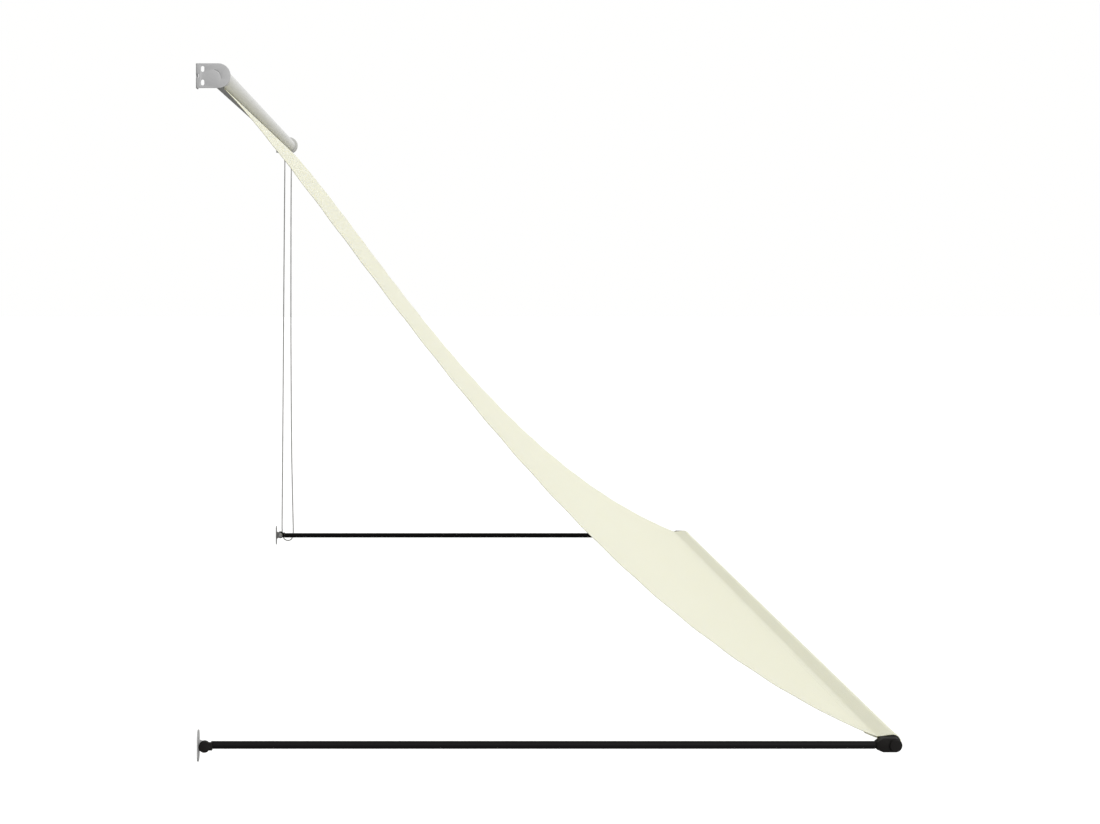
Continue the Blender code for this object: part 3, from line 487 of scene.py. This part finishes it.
number, whole, finish_kind = "NodeSocketFloat", "NodeSocketInt", "NodeSocketMaterial"
braid_inputs = [
    ("Radius", number), ("Ring Spacing", number), ("Braid Pitch", number), ("Yarns", whole),
    ("Depth", number), ("Finish", finish_kind),
]
braid, given, result = tree_with("Braided cord", braid_inputs)
spaced = node(braid, "GeometryNodeResampleCurve", mode="LENGTH")
join(braid, given.outputs["Geometry"], spaced.inputs["Curve"])
join(braid, given.outputs["Ring Spacing"], spaced.inputs["Length"])
walked = node(braid, "GeometryNodeSplineParameter")
kept_length = node(braid, "GeometryNodeStoreNamedAttribute", data_type="FLOAT", domain="POINT")
kept_length.inputs["Name"].default_value = "down_cord"
join(braid, spaced.outputs["Curve"], kept_length.inputs["Geometry"])
join(braid, walked.outputs["Length"], kept_length.inputs["Value"])
ring = node(braid, "GeometryNodeCurvePrimitiveCircle", Resolution=16)
join(braid, given.outputs["Radius"], ring.inputs["Radius"])
ring_turn = node(braid, "GeometryNodeSplineParameter")
kept_turn = node(braid, "GeometryNodeStoreNamedAttribute", data_type="FLOAT", domain="POINT")
kept_turn.inputs["Name"].default_value = "round_cord"
join(braid, ring.outputs["Curve"], kept_turn.inputs["Geometry"])
join(braid, ring_turn.outputs["Factor"], kept_turn.inputs["Value"])
tube = node(braid, "GeometryNodeCurveToMesh")
tube.inputs["Fill Caps"].default_value = True
join(braid, kept_length.outputs["Geometry"], tube.inputs["Curve"])
join(braid, kept_turn.outputs["Geometry"], tube.inputs["Profile Curve"])
down = node(braid, "GeometryNodeInputNamedAttribute", data_type="FLOAT")
down.inputs["Name"].default_value = "down_cord"
about = node(braid, "GeometryNodeInputNamedAttribute", data_type="FLOAT")
about.inputs["Name"].default_value = "round_cord"
advance = math_node(braid, "DIVIDE", down.outputs["Attribute"], given.outputs["Braid Pitch"])


def spiral(sign):
    """Height of one of the two sets of yarns."""
    turned = math_node(braid, "MULTIPLY", about.outputs["Attribute"], given.outputs["Yarns"])
    phase = math_node(braid, "ADD", turned, math_node(braid, "MULTIPLY", math_node(
        braid, "MULTIPLY", advance, given.outputs["Yarns"]), float(sign)))
    return math_node(braid, "SINE", math_node(braid, "MULTIPLY", phase, 2 * math.pi))


height = math_node(braid, "MULTIPLY", spiral(1), spiral(-1))
push = math_node(braid, "MULTIPLY", height, given.outputs["Depth"])
outward = node(braid, "GeometryNodeInputNormal")
offset = node(braid, "ShaderNodeVectorMath", operation="SCALE")
join(braid, outward.outputs[0], offset.inputs[0])
join(braid, push, offset.inputs["Scale"])
pushed = node(braid, "GeometryNodeSetPosition")
join(braid, tube.outputs["Mesh"], pushed.inputs["Geometry"])
join(braid, offset.outputs["Vector"], pushed.inputs["Offset"])
smooth = node(braid, "GeometryNodeSetShadeSmooth")
join(braid, pushed.outputs["Geometry"], smooth.inputs["Geometry"])
real = node(braid, "GeometryNodeRealizeInstances")
join(braid, smooth.outputs["Geometry"], real.inputs["Geometry"])
dressed = node(braid, "GeometryNodeSetMaterial")
join(braid, real.outputs["Geometry"], dressed.inputs["Geometry"])
join(braid, given.outputs["Finish"], dressed.inputs["Material"])
join(braid, dressed.outputs["Geometry"], result.inputs["Geometry"])

CORD_GREY = (0.52, 0.52, 0.50)
WEAR_PITCH = 0.31
WEAR_SHARE = 0.12
cord_finish, tree, shader = start_finish("cord_braid", CORD_GREY, roughness=0.75, Specular_IOR_Level=0.2)
down_attribute = node(tree, "ShaderNodeAttribute", attribute_name="down_cord")
fibre_place = object_place(tree, (1.0, 1.0, 0.25))
fibres = noise(tree, fibre_place, scale=5200.0, detail=2.0)
turns_down = math_node(tree, "MULTIPLY", down_attribute.outputs["Fac"], 2 * math.pi / WEAR_PITCH)
worn = math_node(tree, "MULTIPLY", math_node(tree, "SINE", turns_down), WEAR_SHARE)
wear = math_node(tree, "ADD", fibres, worn)
tint(tree, shader, wear, shade(CORD_GREY, 0.86), shade(CORD_GREY, 1.08))
relief(tree, shader, fibres, strength=0.4, distance=0.00012)

braid_values = {
    "Radius": CORD_RADIUS - BRAID_DEPTH, "Ring Spacing": RING_SPACING, "Braid Pitch": BRAID_PITCH,
    "Yarns": BRAID_YARNS, "Depth": BRAID_DEPTH, "Finish": cord_finish,
}
pull_cord = bake_with(path_object("cord_path", [cord_line]), braid, braid_values, "braided_pull_cord")
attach(pull_cord, "wall_side")
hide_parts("pull_cord")

# %% [markdown]
# ## Sections pushed through a die
# The roller, the front bar and the two arms all have one section along their whole length. So each is
# made from its flat section, and one tree pushes that section along an axis and closes both ends. The
# same tree then serves four pieces, and a longer awning needs only another travel.

# %% Extrusion tree
vector_kind = "NodeSocketVector"
push_tree, given, result = tree_with(
    "Pushed section", [("Travel", vector_kind), ("Sharp From", number), ("Finish", finish_kind)])
walls = node(push_tree, "GeometryNodeExtrudeMesh", mode="FACES", Individual=False)
walls.inputs["Offset Scale"].default_value = 1.0
join(push_tree, given.outputs["Geometry"], walls.inputs["Mesh"])
join(push_tree, given.outputs["Travel"], walls.inputs["Offset"])
back = node(push_tree, "GeometryNodeFlipFaces")
join(push_tree, given.outputs["Geometry"], back.inputs["Mesh"])
both = node(push_tree, "GeometryNodeJoinGeometry")
join(push_tree, back.outputs["Mesh"], both.inputs["Geometry"])
join(push_tree, walls.outputs["Mesh"], both.inputs["Geometry"])
closed = node(push_tree, "GeometryNodeMergeByDistance", Distance=1e-6)
join(push_tree, both.outputs["Geometry"], closed.inputs["Geometry"])
flat_edge = node(push_tree, "GeometryNodeInputMeshEdgeAngle")
gentle = node(push_tree, "FunctionNodeCompare", data_type="FLOAT", operation="LESS_THAN")
join(push_tree, flat_edge.outputs["Unsigned Angle"], gentle.inputs[0])
join(push_tree, given.outputs["Sharp From"], gentle.inputs[1])
smooth_faces = node(push_tree, "GeometryNodeSetShadeSmooth", domain="FACE")
join(push_tree, closed.outputs["Geometry"], smooth_faces.inputs["Geometry"])
smooth_edges = node(push_tree, "GeometryNodeSetShadeSmooth", domain="EDGE")
join(push_tree, smooth_faces.outputs["Geometry"], smooth_edges.inputs["Geometry"])
join(push_tree, gentle.outputs["Result"], smooth_edges.inputs["Shade Smooth"])
real = node(push_tree, "GeometryNodeRealizeInstances")
join(push_tree, smooth_edges.outputs["Geometry"], real.inputs["Geometry"])
dressed = node(push_tree, "GeometryNodeSetMaterial")
join(push_tree, real.outputs["Geometry"], dressed.inputs["Geometry"])
join(push_tree, given.outputs["Finish"], dressed.inputs["Material"])
join(push_tree, dressed.outputs["Geometry"], result.inputs["Geometry"])
print("extrusion tree with", len(push_tree.nodes), "nodes")

# %% Sections
def arc(centre, radius, start, end, steps):
    """Points of an arc from angle start to angle end."""
    turns = np.linspace(start, end, steps + 1)
    return [(centre[0] + radius * math.cos(turn), centre[1] + radius * math.sin(turn)) for turn in turns]


def circle(centre, radius, steps):
    return arc(centre, radius, 0.0, 2 * math.pi, steps)[:-1]


SHARP_FROM = math.radians(35.0)


def section_object(name, outlines, place, plane):
    """Flat face from outlines, the first the edge and the rest holes, in the XZ or the YZ plane."""
    flat = bmesh.new()
    edges = []
    for outline in outlines:
        if plane == "XZ":
            rim = [flat.verts.new((a, place, b)) for a, b in outline]
        else:
            rim = [flat.verts.new((place, a, b)) for a, b in outline]
        edges += [flat.edges.new((rim[index - 1], rim[index])) for index in range(len(rim))]
    bmesh.ops.triangle_fill(flat, use_beauty=True, edges=edges)
    facing = Vector((0.0, 1.0, 0.0)) if plane == "XZ" else Vector((1.0, 0.0, 0.0))
    for face in flat.faces:
        face.normal_update()
        if face.normal.dot(facing) < 0.0:
            face.normal_flip()
    mesh = bpy.data.meshes.new(name)
    flat.to_mesh(mesh)
    flat.free()
    made = bpy.data.objects.new(name, mesh)
    bpy.context.scene.collection.objects.link(made)
    return made


def pushed_piece(name, outlines, plane, start, end, finish):
    """A section pushed from start to end along the axis that is square to its plane."""
    travel = (0.0, end - start, 0.0) if plane == "XZ" else (end - start, 0.0, 0.0)
    owner = section_object(f"{name}_section", outlines, start, plane)
    values = {"Travel": travel, "Sharp From": SHARP_FROM, "Finish": finish}
    return bake_with(owner, push_tree, values, name)

# %% [markdown]
# ## Roller tube
# The roller is a tube 32 mm across. A keyhole channel runs down it, and the rod in the cloth's top hem
# slides in from one end. The section is drawn once: the outside with the channel let into it, and the
# inside with the swell that the channel makes.

# %% Roller tube
ROLLER_AXIS = (0.0351, 1.057)
ROLLER_RADIUS = 0.016
ROLLER_WALL = 0.0012
CHANNEL_TURN = math.radians(-72.0)
CHANNEL_DEPTH = 0.0028
CHANNEL_ROUND = 0.0017
CHANNEL_WALL = 0.0009
HALF_SLOT = 0.0007
ROLLER_STEPS = (120, 24, 100, 16)


def roller_outlines():
    """Outside and inside of the roller's section."""
    pocket_place = ROLLER_RADIUS - CHANNEL_DEPTH
    pocket = (
        ROLLER_AXIS[0] + pocket_place * math.cos(CHANNEL_TURN),
        ROLLER_AXIS[1] + pocket_place * math.sin(CHANNEL_TURN),
    )
    mouth = math.asin(HALF_SLOT / ROLLER_RADIUS)
    throat = math.asin(HALF_SLOT / CHANNEL_ROUND)
    turn = 2 * math.pi
    rim_steps, pocket_steps, bore_steps, swell_steps = ROLLER_STEPS
    outside = arc(ROLLER_AXIS, ROLLER_RADIUS, CHANNEL_TURN + mouth, CHANNEL_TURN + turn - mouth, rim_steps)
    outside += arc(pocket, CHANNEL_ROUND, CHANNEL_TURN - throat, CHANNEL_TURN - turn + throat, pocket_steps)
    bore = ROLLER_RADIUS - ROLLER_WALL
    swell = CHANNEL_ROUND + CHANNEL_WALL
    split = math.acos((bore**2 + pocket_place**2 - swell**2) / (2 * bore * pocket_place))
    swell_turn = math.atan2(bore * math.sin(split), bore * math.cos(split) - pocket_place)
    inside = arc(ROLLER_AXIS, bore, CHANNEL_TURN + split, CHANNEL_TURN + turn - split, bore_steps)
    inside += arc(
        pocket, swell, CHANNEL_TURN - swell_turn, CHANNEL_TURN - turn + swell_turn, swell_steps)[1:-1]
    return [outside, inside]


low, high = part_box("roller_tube")
roller = pushed_piece("roller_extrusion", roller_outlines(), "XZ", low.y, high.y, roller_coat)
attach(roller, "roller")
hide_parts("roller_tube")

# %% Front bar and arms
def ring_outlines(centre, outside, wall, steps=64):
    return [circle(centre, outside, steps), circle(centre, outside - wall, steps)]


BAR_AXIS = (1.103, 0.001)
BAR_RADIUS = 0.012
BAR_WALL = 0.0012
low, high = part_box("front_bar")
front_bar = pushed_piece(
    "front_bar_tube", ring_outlines(BAR_AXIS, BAR_RADIUS, BAR_WALL), "XZ", low.y, high.y, bar_coat_painted_shade)
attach(front_bar, "bar_assembly")
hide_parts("front_bar")

ARM_RADIUS = 0.006
ARM_WALL = 0.001
ARM_STEPS = 48
for side in ("left", "right"):
    low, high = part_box(f"arm_tube_{side}")
    middle = ((low.y + high.y) / 2, (low.z + high.z) / 2)
    rings = ring_outlines(middle, ARM_RADIUS, ARM_WALL, ARM_STEPS)
    arm = pushed_piece(f"arm_tube_coated_{side}", rings, "YZ", low.x, high.x, arm_coat)
    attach(arm, "arms")
    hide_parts(f"arm_tube_{side}")

# %% [markdown]
# ## Soft edges
# No real edge is perfectly sharp: folded sheet has a small radius, a coat of powder pulls back from
# corners, and a mould's corners are rounded. A highlight then runs along the edge, and that is much of
# what makes a part look real. A copy of each solid is cleaned, its edges are bevelled, and the copy
# stands for the solid.

# %% Soft edges
SAME_PLACE = 2e-6
FLAT_WITHIN = math.radians(0.6)
ROUND_FROM = math.radians(33.0)


def soft_edged(name, source, body, slot_name, finish, edge=0.0003, segments=3):
    """Copy a solid, round its edges and let the copy stand for it."""
    mesh = nodes[source].data.copy()
    mesh.name = name
    clean = bmesh.new()
    clean.from_mesh(mesh)
    bmesh.ops.remove_doubles(clean, verts=clean.verts, dist=SAME_PLACE)
    bmesh.ops.dissolve_limit(clean, angle_limit=FLAT_WITHIN, verts=clean.verts, edges=clean.edges)
    clean.to_mesh(mesh)
    clean.free()
    mesh.shade_smooth()
    mesh.materials.clear()
    mesh.materials.append(finish)
    rounded = bpy.data.objects.new(f"{name}_work", mesh)
    bpy.context.scene.collection.objects.link(rounded)
    bevel = rounded.modifiers.new("soft_edge", "BEVEL")
    bevel.width = edge
    bevel.segments = segments
    bevel.limit_method = "ANGLE"
    bevel.angle_limit = ROUND_FROM
    bevel.use_clamp_overlap = True
    bevel.harden_normals = True
    bevel.miter_outer = "MITER_ARC"
    evaluated = rounded.evaluated_get(bpy.context.evaluated_depsgraph_get())
    final = bpy.data.meshes.new_from_object(evaluated)
    final.name = name
    bpy.data.objects.remove(rounded)
    made = bpy.data.objects.new(name, final)
    bpy.context.scene.collection.objects.link(made)
    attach(made, body)
    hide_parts(source)
    print(name, len(final.polygons), "faces")
    return made


PAIRED_PIECES = (
    ("folded_bracket", "roller_bracket", "wall_side", "grey_steel", bracket_coat, 0.00035, 3),
    ("wall_plate", "arm_bracket", "wall_side", "light_grey_steel", plate_coat, 0.0003, 3),
    ("pivot_knuckle", "wall_knuckle", "arms", "black_plastic", black_plastic, 0.0004, 3),
    ("nose_knuckle", "front_knuckle", "arms", "black_plastic", black_plastic, 0.0003, 3),
    ("round_cap", "bar_cap", "bar_assembly", "black_plastic", black_plastic, 0.0002, 3),
    ("thin_washer", "pivot_washer", "arms", "bright_steel", plated_steel, 0.00015, 2),
)
for side in ("left", "right"):
    for name, source, *rest in PAIRED_PIECES:
        soft_edged(f"{name}_{side}", f"{source}_{side}", *rest)
soft_edged("wheel_cover", "cord_guard", "wall_side", "grey_plastic", grey_plastic)
soft_edged("grooved_wheel", "cord_wheel", "roller", "white_plastic", white_plastic, edge=0.0002)
for name in ("idle_plug", "drive_plug"):
    soft_edged(f"{name}_moulded", name, "roller", "grey_plastic", grey_plastic, edge=0.0002)

# %% Solids that stay
KEPT_SOLIDS = {
    "idle_pin": plated_steel, "clutch_spring": plated_steel, "pivot_screw_left": plated_steel,
    "pivot_screw_right": plated_steel, "idle_bush": white_plastic, "welt_rod": white_plastic,
    "clutch_post": grey_plastic, "bar_plug_left": black_plastic, "bar_plug_right": black_plastic,
}
for name, finish in KEPT_SOLIDS.items():
    solid = nodes[name]
    solid.data.materials.clear()
    solid.data.materials.append(finish)
print(len(KEPT_SOLIDS), "solids stay as they are, with a finish")

# %% [markdown]
# ## The canopy
# One length of cloth runs from the roller's channel, down its own curve, over the front bar, round it,
# and back under itself, where it is sewn. Both side edges are turned under and sewn too. The shape is a
# rule, not a sculpture: a line in the XZ plane, and a second line across that says how far the cloth lies
# above or below it. Every point of the cloth is one place on each. A simulation wasn't used, because
# the photograph gives the curve itself, and a cloth solver would only wander away from it.

# %% Line of the cloth
POCKET_TIP = 0.0268
POCKET_BEARING = math.radians(20.8)
TOP_SLOPE = math.radians(46.1)
TOP_REACH = 0.292
FRONT_SLOPE = math.radians(22.0)
FRONT_REACH = 0.535
CLOTH_THICKNESS = 0.00055
LAYER = 0.0006
FACE_LIFT = 0.00025
POCKET_SLACK = 0.0006
SEAM_LENGTH = 0.020
SEAM_BLEND = 0.012
MOUTH_LIFT = 0.0004
ROW_SPACING = 0.010
POCKET_SPACING = 0.003
SEAM_SPACING = 0.002
WRAP_STEPS = 36
CURVE_STEPS = 600


def xz(angle):
    return np.array([math.cos(angle), math.sin(angle)])


def even_spacing(points, spacing):
    """The same line with points an even distance apart."""
    walked = np.concatenate([[0.0], np.cumsum(np.linalg.norm(np.diff(points, axis=0), axis=1))])
    stops = np.linspace(0.0, walked[-1], max(2, int(round(walked[-1] / spacing)) + 1))
    return np.column_stack([np.interp(stops, walked, points[:, place]) for place in (0, 1)])


roller_axis = np.array(ROLLER_AXIS)
bar_axis = np.array(BAR_AXIS)
throat = roller_axis + xz(CHANNEL_TURN) * (ROLLER_RADIUS - CHANNEL_DEPTH + CHANNEL_ROUND)
top = roller_axis + xz(CHANNEL_TURN) * (ROLLER_RADIUS + MOUTH_LIFT)
tip = bar_axis + xz(math.pi - POCKET_BEARING) * POCKET_TIP
top_handle = top + xz(-TOP_SLOPE) * TOP_REACH
tip_handle = tip - xz(-FRONT_SLOPE) * FRONT_REACH
t = np.linspace(0.0, 1.0, CURVE_STEPS)[:, None]
fall = (1 - t)**3 * top + 3 * (1 - t)**2 * t * top_handle + 3 * (1 - t) * t**2 * tip_handle + t**3 * tip
fall = np.vstack([throat, even_spacing(fall, ROW_SPACING)])

wrap_radius = BAR_RADIUS + POCKET_SLACK
spread = math.acos(wrap_radius / POCKET_TIP)
run_back = math.pi - POCKET_BEARING
wrap = np.array(arc(BAR_AXIS, wrap_radius, run_back - spread, run_back + spread - 2 * math.pi, WRAP_STEPS))
upper = even_spacing(np.array([tip, wrap[0]]), POCKET_SPACING)[1:-1]
lower = even_spacing(np.array([wrap[-1], tip]), POCKET_SPACING)[1:-1]
print("cloth from the channel to the pocket in", len(fall), "rows")

# %% Seam under the cloth
fall_run = np.gradient(fall, axis=0)
fall_run /= np.linalg.norm(fall_run, axis=1)[:, None]
fall_side = np.column_stack([-fall_run[:, 1], fall_run[:, 0]])
from_tip = np.concatenate([[0.0], np.cumsum(np.linalg.norm(np.diff(fall[::-1], axis=0), axis=1))])
seam = (fall - fall_side * LAYER)[::-1]
seam_stops = np.arange(SEAM_SPACING / 2, SEAM_LENGTH, SEAM_SPACING)
seam = np.column_stack([np.interp(seam_stops, from_tip, seam[:, place]) for place in (0, 1)])
line = np.vstack([fall, upper, wrap, lower, seam])
steps = np.linalg.norm(np.diff(line, axis=0), axis=1)
along = np.concatenate([[0.0], np.cumsum(steps)])
side_of_line = np.gradient(line, axis=0)
side_of_line /= np.linalg.norm(side_of_line, axis=1)[:, None]
side_of_line = np.column_stack([-side_of_line[:, 1], side_of_line[:, 0]])
tip_along = float(along[len(fall) - 1])
seam_along = float(along[len(fall) + len(upper) + len(wrap) + len(lower) - 1])

# %% Line across the cloth
CLOTH_LEFT = 0.0119
CLOTH_RIGHT = 1.9339
HEM_WIDTH = 0.020
FOLD_RADIUS = LAYER / 2
PAST_FOLD = 0.001
FLAT_POINTS = 6
FOLD_POINTS = 7
OPEN_POINTS = 74


def hem_across(edge, inward):
    """Half of the line across: from the hem's raw edge, round the fold, to the face above it."""
    parts = np.linspace(0, 1, FLAT_POINTS)
    under = [(edge + inward * (HEM_WIDTH - part * (HEM_WIDTH - PAST_FOLD)), -1.0) for part in parts]
    turns = np.linspace(-math.pi / 2, -3 * math.pi / 2, FOLD_POINTS)[1:-1]
    fold = [
        (edge + inward * FOLD_RADIUS * (1 + math.cos(turn)), -0.5 + 0.5 * math.sin(turn)) for turn in turns]
    above = [(edge + inward * (PAST_FOLD + part * (HEM_WIDTH - PAST_FOLD)), 0.0) for part in parts]
    return under + fold + above


left_hem = hem_across(CLOTH_LEFT, 1.0)
right_hem = hem_across(CLOTH_RIGHT, -1.0)
between_hems = np.linspace(CLOTH_LEFT + HEM_WIDTH, CLOTH_RIGHT - HEM_WIDTH, OPEN_POINTS)[1:-1]
across_line = left_hem + [(place, 0.0) for place in between_hems] + right_hem[::-1]
across_y = np.array([place for place, level in across_line])
across_level = np.array([level for place, level in across_line])
across_walk = np.concatenate([[0.0], np.cumsum(np.hypot(np.diff(across_y), LAYER * np.diff(across_level)))])
print("points along and across", len(line), len(across_line))

# %% [markdown]
# Where the cloth wraps the bar, the turned-under hem lies against the bar and the face lies on top of
# it, and where the cloth is sewn back under itself there are four layers at the hems. So the face is
# lifted by one layer on the pocket and by two on the seam, but only over the hems.

# %% Layers at the hems and the sag between them
HEM_EASE = 0.006
SEAM_EASE = 0.004
FACE_EASE = 0.02


def ease(value):
    value = np.clip(value, 0.0, 1.0)
    return value * value * (3 - 2 * value)


past_left = (across_y - CLOTH_LEFT - HEM_WIDTH) / HEM_EASE
past_right = (CLOTH_RIGHT - HEM_WIDTH - across_y) / HEM_EASE
over_hem = np.maximum(1 - ease(past_left), 1 - ease(past_right))
lifted = ease((along - tip_along + SEAM_BLEND) / SEAM_BLEND) + ease((along - seam_along) / SEAM_EASE)
level = across_level[None, :] * LAYER + lifted[:, None] * over_hem[None, :] * LAYER

SAG = 0.0055
PUCKER = 0.00045
RIPPLE = 0.0011
FREE_FROM_ROLLER = 0.20
FREE_FROM_POCKET = 0.22
PUCKER_REACH = 0.035
PUCKER_PITCH = 0.0125
PUCKER_START = 1.3
RIPPLE_REACH = 0.15
WAVES = ((1.0, 7.3, 3.1, 0.0), (0.6, 15.1, -5.7, 0.8))
free = ease(along / FREE_FROM_ROLLER) * ease((tip_along - along) / FREE_FROM_POCKET)
middle = 1 - ((across_y - (CLOTH_LEFT + CLOTH_RIGHT) / 2) / ((CLOTH_RIGHT - CLOTH_LEFT) / 2))**2
sag = -SAG * free[:, None] * middle[None, :]
edge_gap = np.minimum(across_y - CLOTH_LEFT, CLOTH_RIGHT - across_y)
near_edge = np.exp(-edge_gap / PUCKER_REACH)[None, :]
pucker = PUCKER * free[:, None] * near_edge * np.sin(along / PUCKER_PITCH + PUCKER_START)[:, None]
wave = sum(
    share * np.sin(across_y[None, :] * across + along[:, None] * down + start)
    for share, across, down, start in WAVES)
ripple = RIPPLE * free[:, None] * np.clip(edge_gap / RIPPLE_REACH, 0.0, 1.0)[None, :] * wave
height = level + sag + pucker + ripple + FACE_LIFT * ease(along / FACE_EASE)[:, None]
print("sag", round(float(sag.min()) * 1000, 1), "mm")

# %% Canopy mesh
rows, columns = len(line), len(across_line)
IN_CHANNEL = 1
cloth_points = np.empty((rows, columns, 3))
cloth_points[:, :, 0] = line[:, 0:1] + side_of_line[:, 0:1] * height
cloth_points[:, :, 1] = across_y[None, :]
cloth_points[:, :, 2] = line[:, 1:2] + side_of_line[:, 1:2] * height
uv_points = np.dstack(np.meshgrid(across_walk, along))


def woven(name, first, last):
    """The cloth between two rows of the grid, as a mesh with its thickness."""
    points, places = cloth_points[first:last + 1], uv_points[first:last + 1]
    grid = np.arange(points.shape[0] * columns).reshape(-1, columns)
    quads = np.stack([grid[:-1, :-1], grid[:-1, 1:], grid[1:, 1:], grid[1:, :-1]], axis=-1).reshape(-1, 4)
    face = bpy.data.meshes.new(name)
    face.from_pydata(points.reshape(-1, 3).tolist(), [], quads.tolist())
    cloth_uv = face.uv_layers.new(name="UVMap")
    corner_of = np.empty(len(face.loops), int)
    face.loops.foreach_get("vertex_index", corner_of)
    cloth_uv.data.foreach_set("uv", places.reshape(-1, 2)[corner_of].ravel())
    face.materials.append(canvas)
    face.shade_smooth()
    work = bpy.data.objects.new(name + "_work", face)
    bpy.context.scene.collection.objects.link(work)
    thick = work.modifiers.new("thickness", "SOLIDIFY")
    thick.thickness = CLOTH_THICKNESS
    thick.offset = 0.0
    thick.use_even_offset = True
    mesh = bpy.data.meshes.new_from_object(work.evaluated_get(bpy.context.evaluated_depsgraph_get()))
    bpy.data.objects.remove(work)
    made = bpy.data.objects.new(name, mesh)
    bpy.context.scene.collection.objects.link(made)
    print(name, len(mesh.polygons), "faces")
    return made


canopy = woven("canopy_cloth", IN_CHANNEL, rows - 1)
channel_hem = woven("canopy_channel_hem", 0, IN_CHANNEL)

# %% [markdown]
# ## Stitches
# A lockstitch shows as a row of short thread lengths, each dipping into the cloth at both ends. One
# small capsule is made once, and a tree sets it along a path at even steps. The paths run along the inner
# edge of each side hem, on both faces of the cloth, and across its upper face where the pocket is sewn.

# %% Stitch tree
stitch_inputs = [
    ("Stitch Pitch", number), ("Stitch Length", number), ("Thread", number), ("Finish", finish_kind)]
stitching, given, result = tree_with("Stitch row", stitch_inputs)
holes = node(stitching, "GeometryNodeCurveToPoints", mode="LENGTH")
join(stitching, given.outputs["Geometry"], holes.inputs["Curve"])
join(stitching, given.outputs["Stitch Pitch"], holes.inputs["Length"])
loop = node(stitching, "GeometryNodeMeshUVSphere", Segments=5, Rings=5)
join(stitching, math_node(stitching, "MULTIPLY", given.outputs["Thread"], 0.5), loop.inputs["Radius"])
longer = math_node(stitching, "DIVIDE", given.outputs["Stitch Length"], given.outputs["Thread"])
stretch = node(stitching, "ShaderNodeCombineXYZ", X=1.0, Y=1.0)
join(stitching, longer, stretch.inputs["Z"])
capsule = node(stitching, "GeometryNodeTransform")
join(stitching, loop.outputs["Mesh"], capsule.inputs["Geometry"])
join(stitching, stretch.outputs["Vector"], capsule.inputs["Scale"])
aimed = node(stitching, "FunctionNodeAlignRotationToVector", axis="Z")
join(stitching, holes.outputs["Tangent"], aimed.inputs["Vector"])
sewn = node(stitching, "GeometryNodeInstanceOnPoints")
join(stitching, holes.outputs["Points"], sewn.inputs["Points"])
join(stitching, capsule.outputs["Geometry"], sewn.inputs["Instance"])
join(stitching, aimed.outputs["Rotation"], sewn.inputs["Rotation"])
real = node(stitching, "GeometryNodeRealizeInstances")
join(stitching, sewn.outputs["Instances"], real.inputs["Geometry"])
soft_thread = node(stitching, "GeometryNodeSetShadeSmooth")
join(stitching, real.outputs["Geometry"], soft_thread.inputs["Geometry"])
dressed = node(stitching, "GeometryNodeSetMaterial")
join(stitching, soft_thread.outputs["Geometry"], dressed.inputs["Geometry"])
join(stitching, given.outputs["Finish"], dressed.inputs["Material"])
join(stitching, dressed.outputs["Geometry"], result.inputs["Geometry"])

# %% Stitch paths
STITCH_PITCH = 0.0040
STITCH_LENGTH = 0.0031
THREAD_THICKNESS = 0.00045
STITCH_IN = 0.003
HEM_START = 0.012
SEAM_ROWS = (0.005, 0.015)
SEAM_STOPS = 90
FACE = CLOTH_THICKNESS / 2


def surface_level(column, row):
    """Height of the face at a place across the cloth, read from the same table as the cloth."""
    face = slice(len(left_hem) - FLAT_POINTS, len(across_line) - len(right_hem) + FLAT_POINTS)
    return np.interp(column, across_y[face], height[row, face])


def on_cloth(row, column, lift):
    """A point above or below the cloth's middle surface."""
    level_here = surface_level(column, row) + lift
    out, up = line[row] + side_of_line[row] * level_here
    return (out, column, up)


def rows_between(start, end):
    return [row for row in range(rows) if start <= along[row] <= end]


hem_rows = rows_between(HEM_START, tip_along)
hem_paths = []
for column in (CLOTH_LEFT + HEM_WIDTH - STITCH_IN, CLOTH_RIGHT - HEM_WIDTH + STITCH_IN):
    hem_paths.append([on_cloth(row, column, FACE) for row in hem_rows])
    hem_paths.append([on_cloth(row, column, -LAYER - FACE) for row in hem_rows])
seam_paths = []
for back_from_tip in SEAM_ROWS:
    row = int(np.argmin(np.abs(along[:len(fall)] - (tip_along - back_from_tip))))
    stops = np.linspace(CLOTH_LEFT + STITCH_IN, CLOTH_RIGHT - STITCH_IN, SEAM_STOPS)
    seam_paths.append([on_cloth(row, column, FACE) for column in stops])
sewing = {
    "Stitch Pitch": STITCH_PITCH, "Stitch Length": STITCH_LENGTH, "Thread": THREAD_THICKNESS,
    "Finish": thread_finish,
}
hem_stitches = bake_with(path_object("hem_paths", hem_paths), stitching, sewing, "hem_stitches")
seam_stitches = bake_with(path_object("seam_paths", seam_paths), stitching, sewing, "seam_stitches")

# %% [markdown]
# ## How the cloth moves
# The first millimetre and a half of the cloth stands in the channel's mouth and turns with the roller.
# The rest starts just off the roller's surface. On the real awning its pocket goes with the bar, which the
# arms carry, and the slack winds on to the roller. Here the rest of the cloth and its stitches stay where
# they are built.

# %% Cloth between the roller and the arms
for piece in (canopy, hem_stitches, seam_stitches):
    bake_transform(piece)
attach(channel_hem, "roller")
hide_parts("canopy")
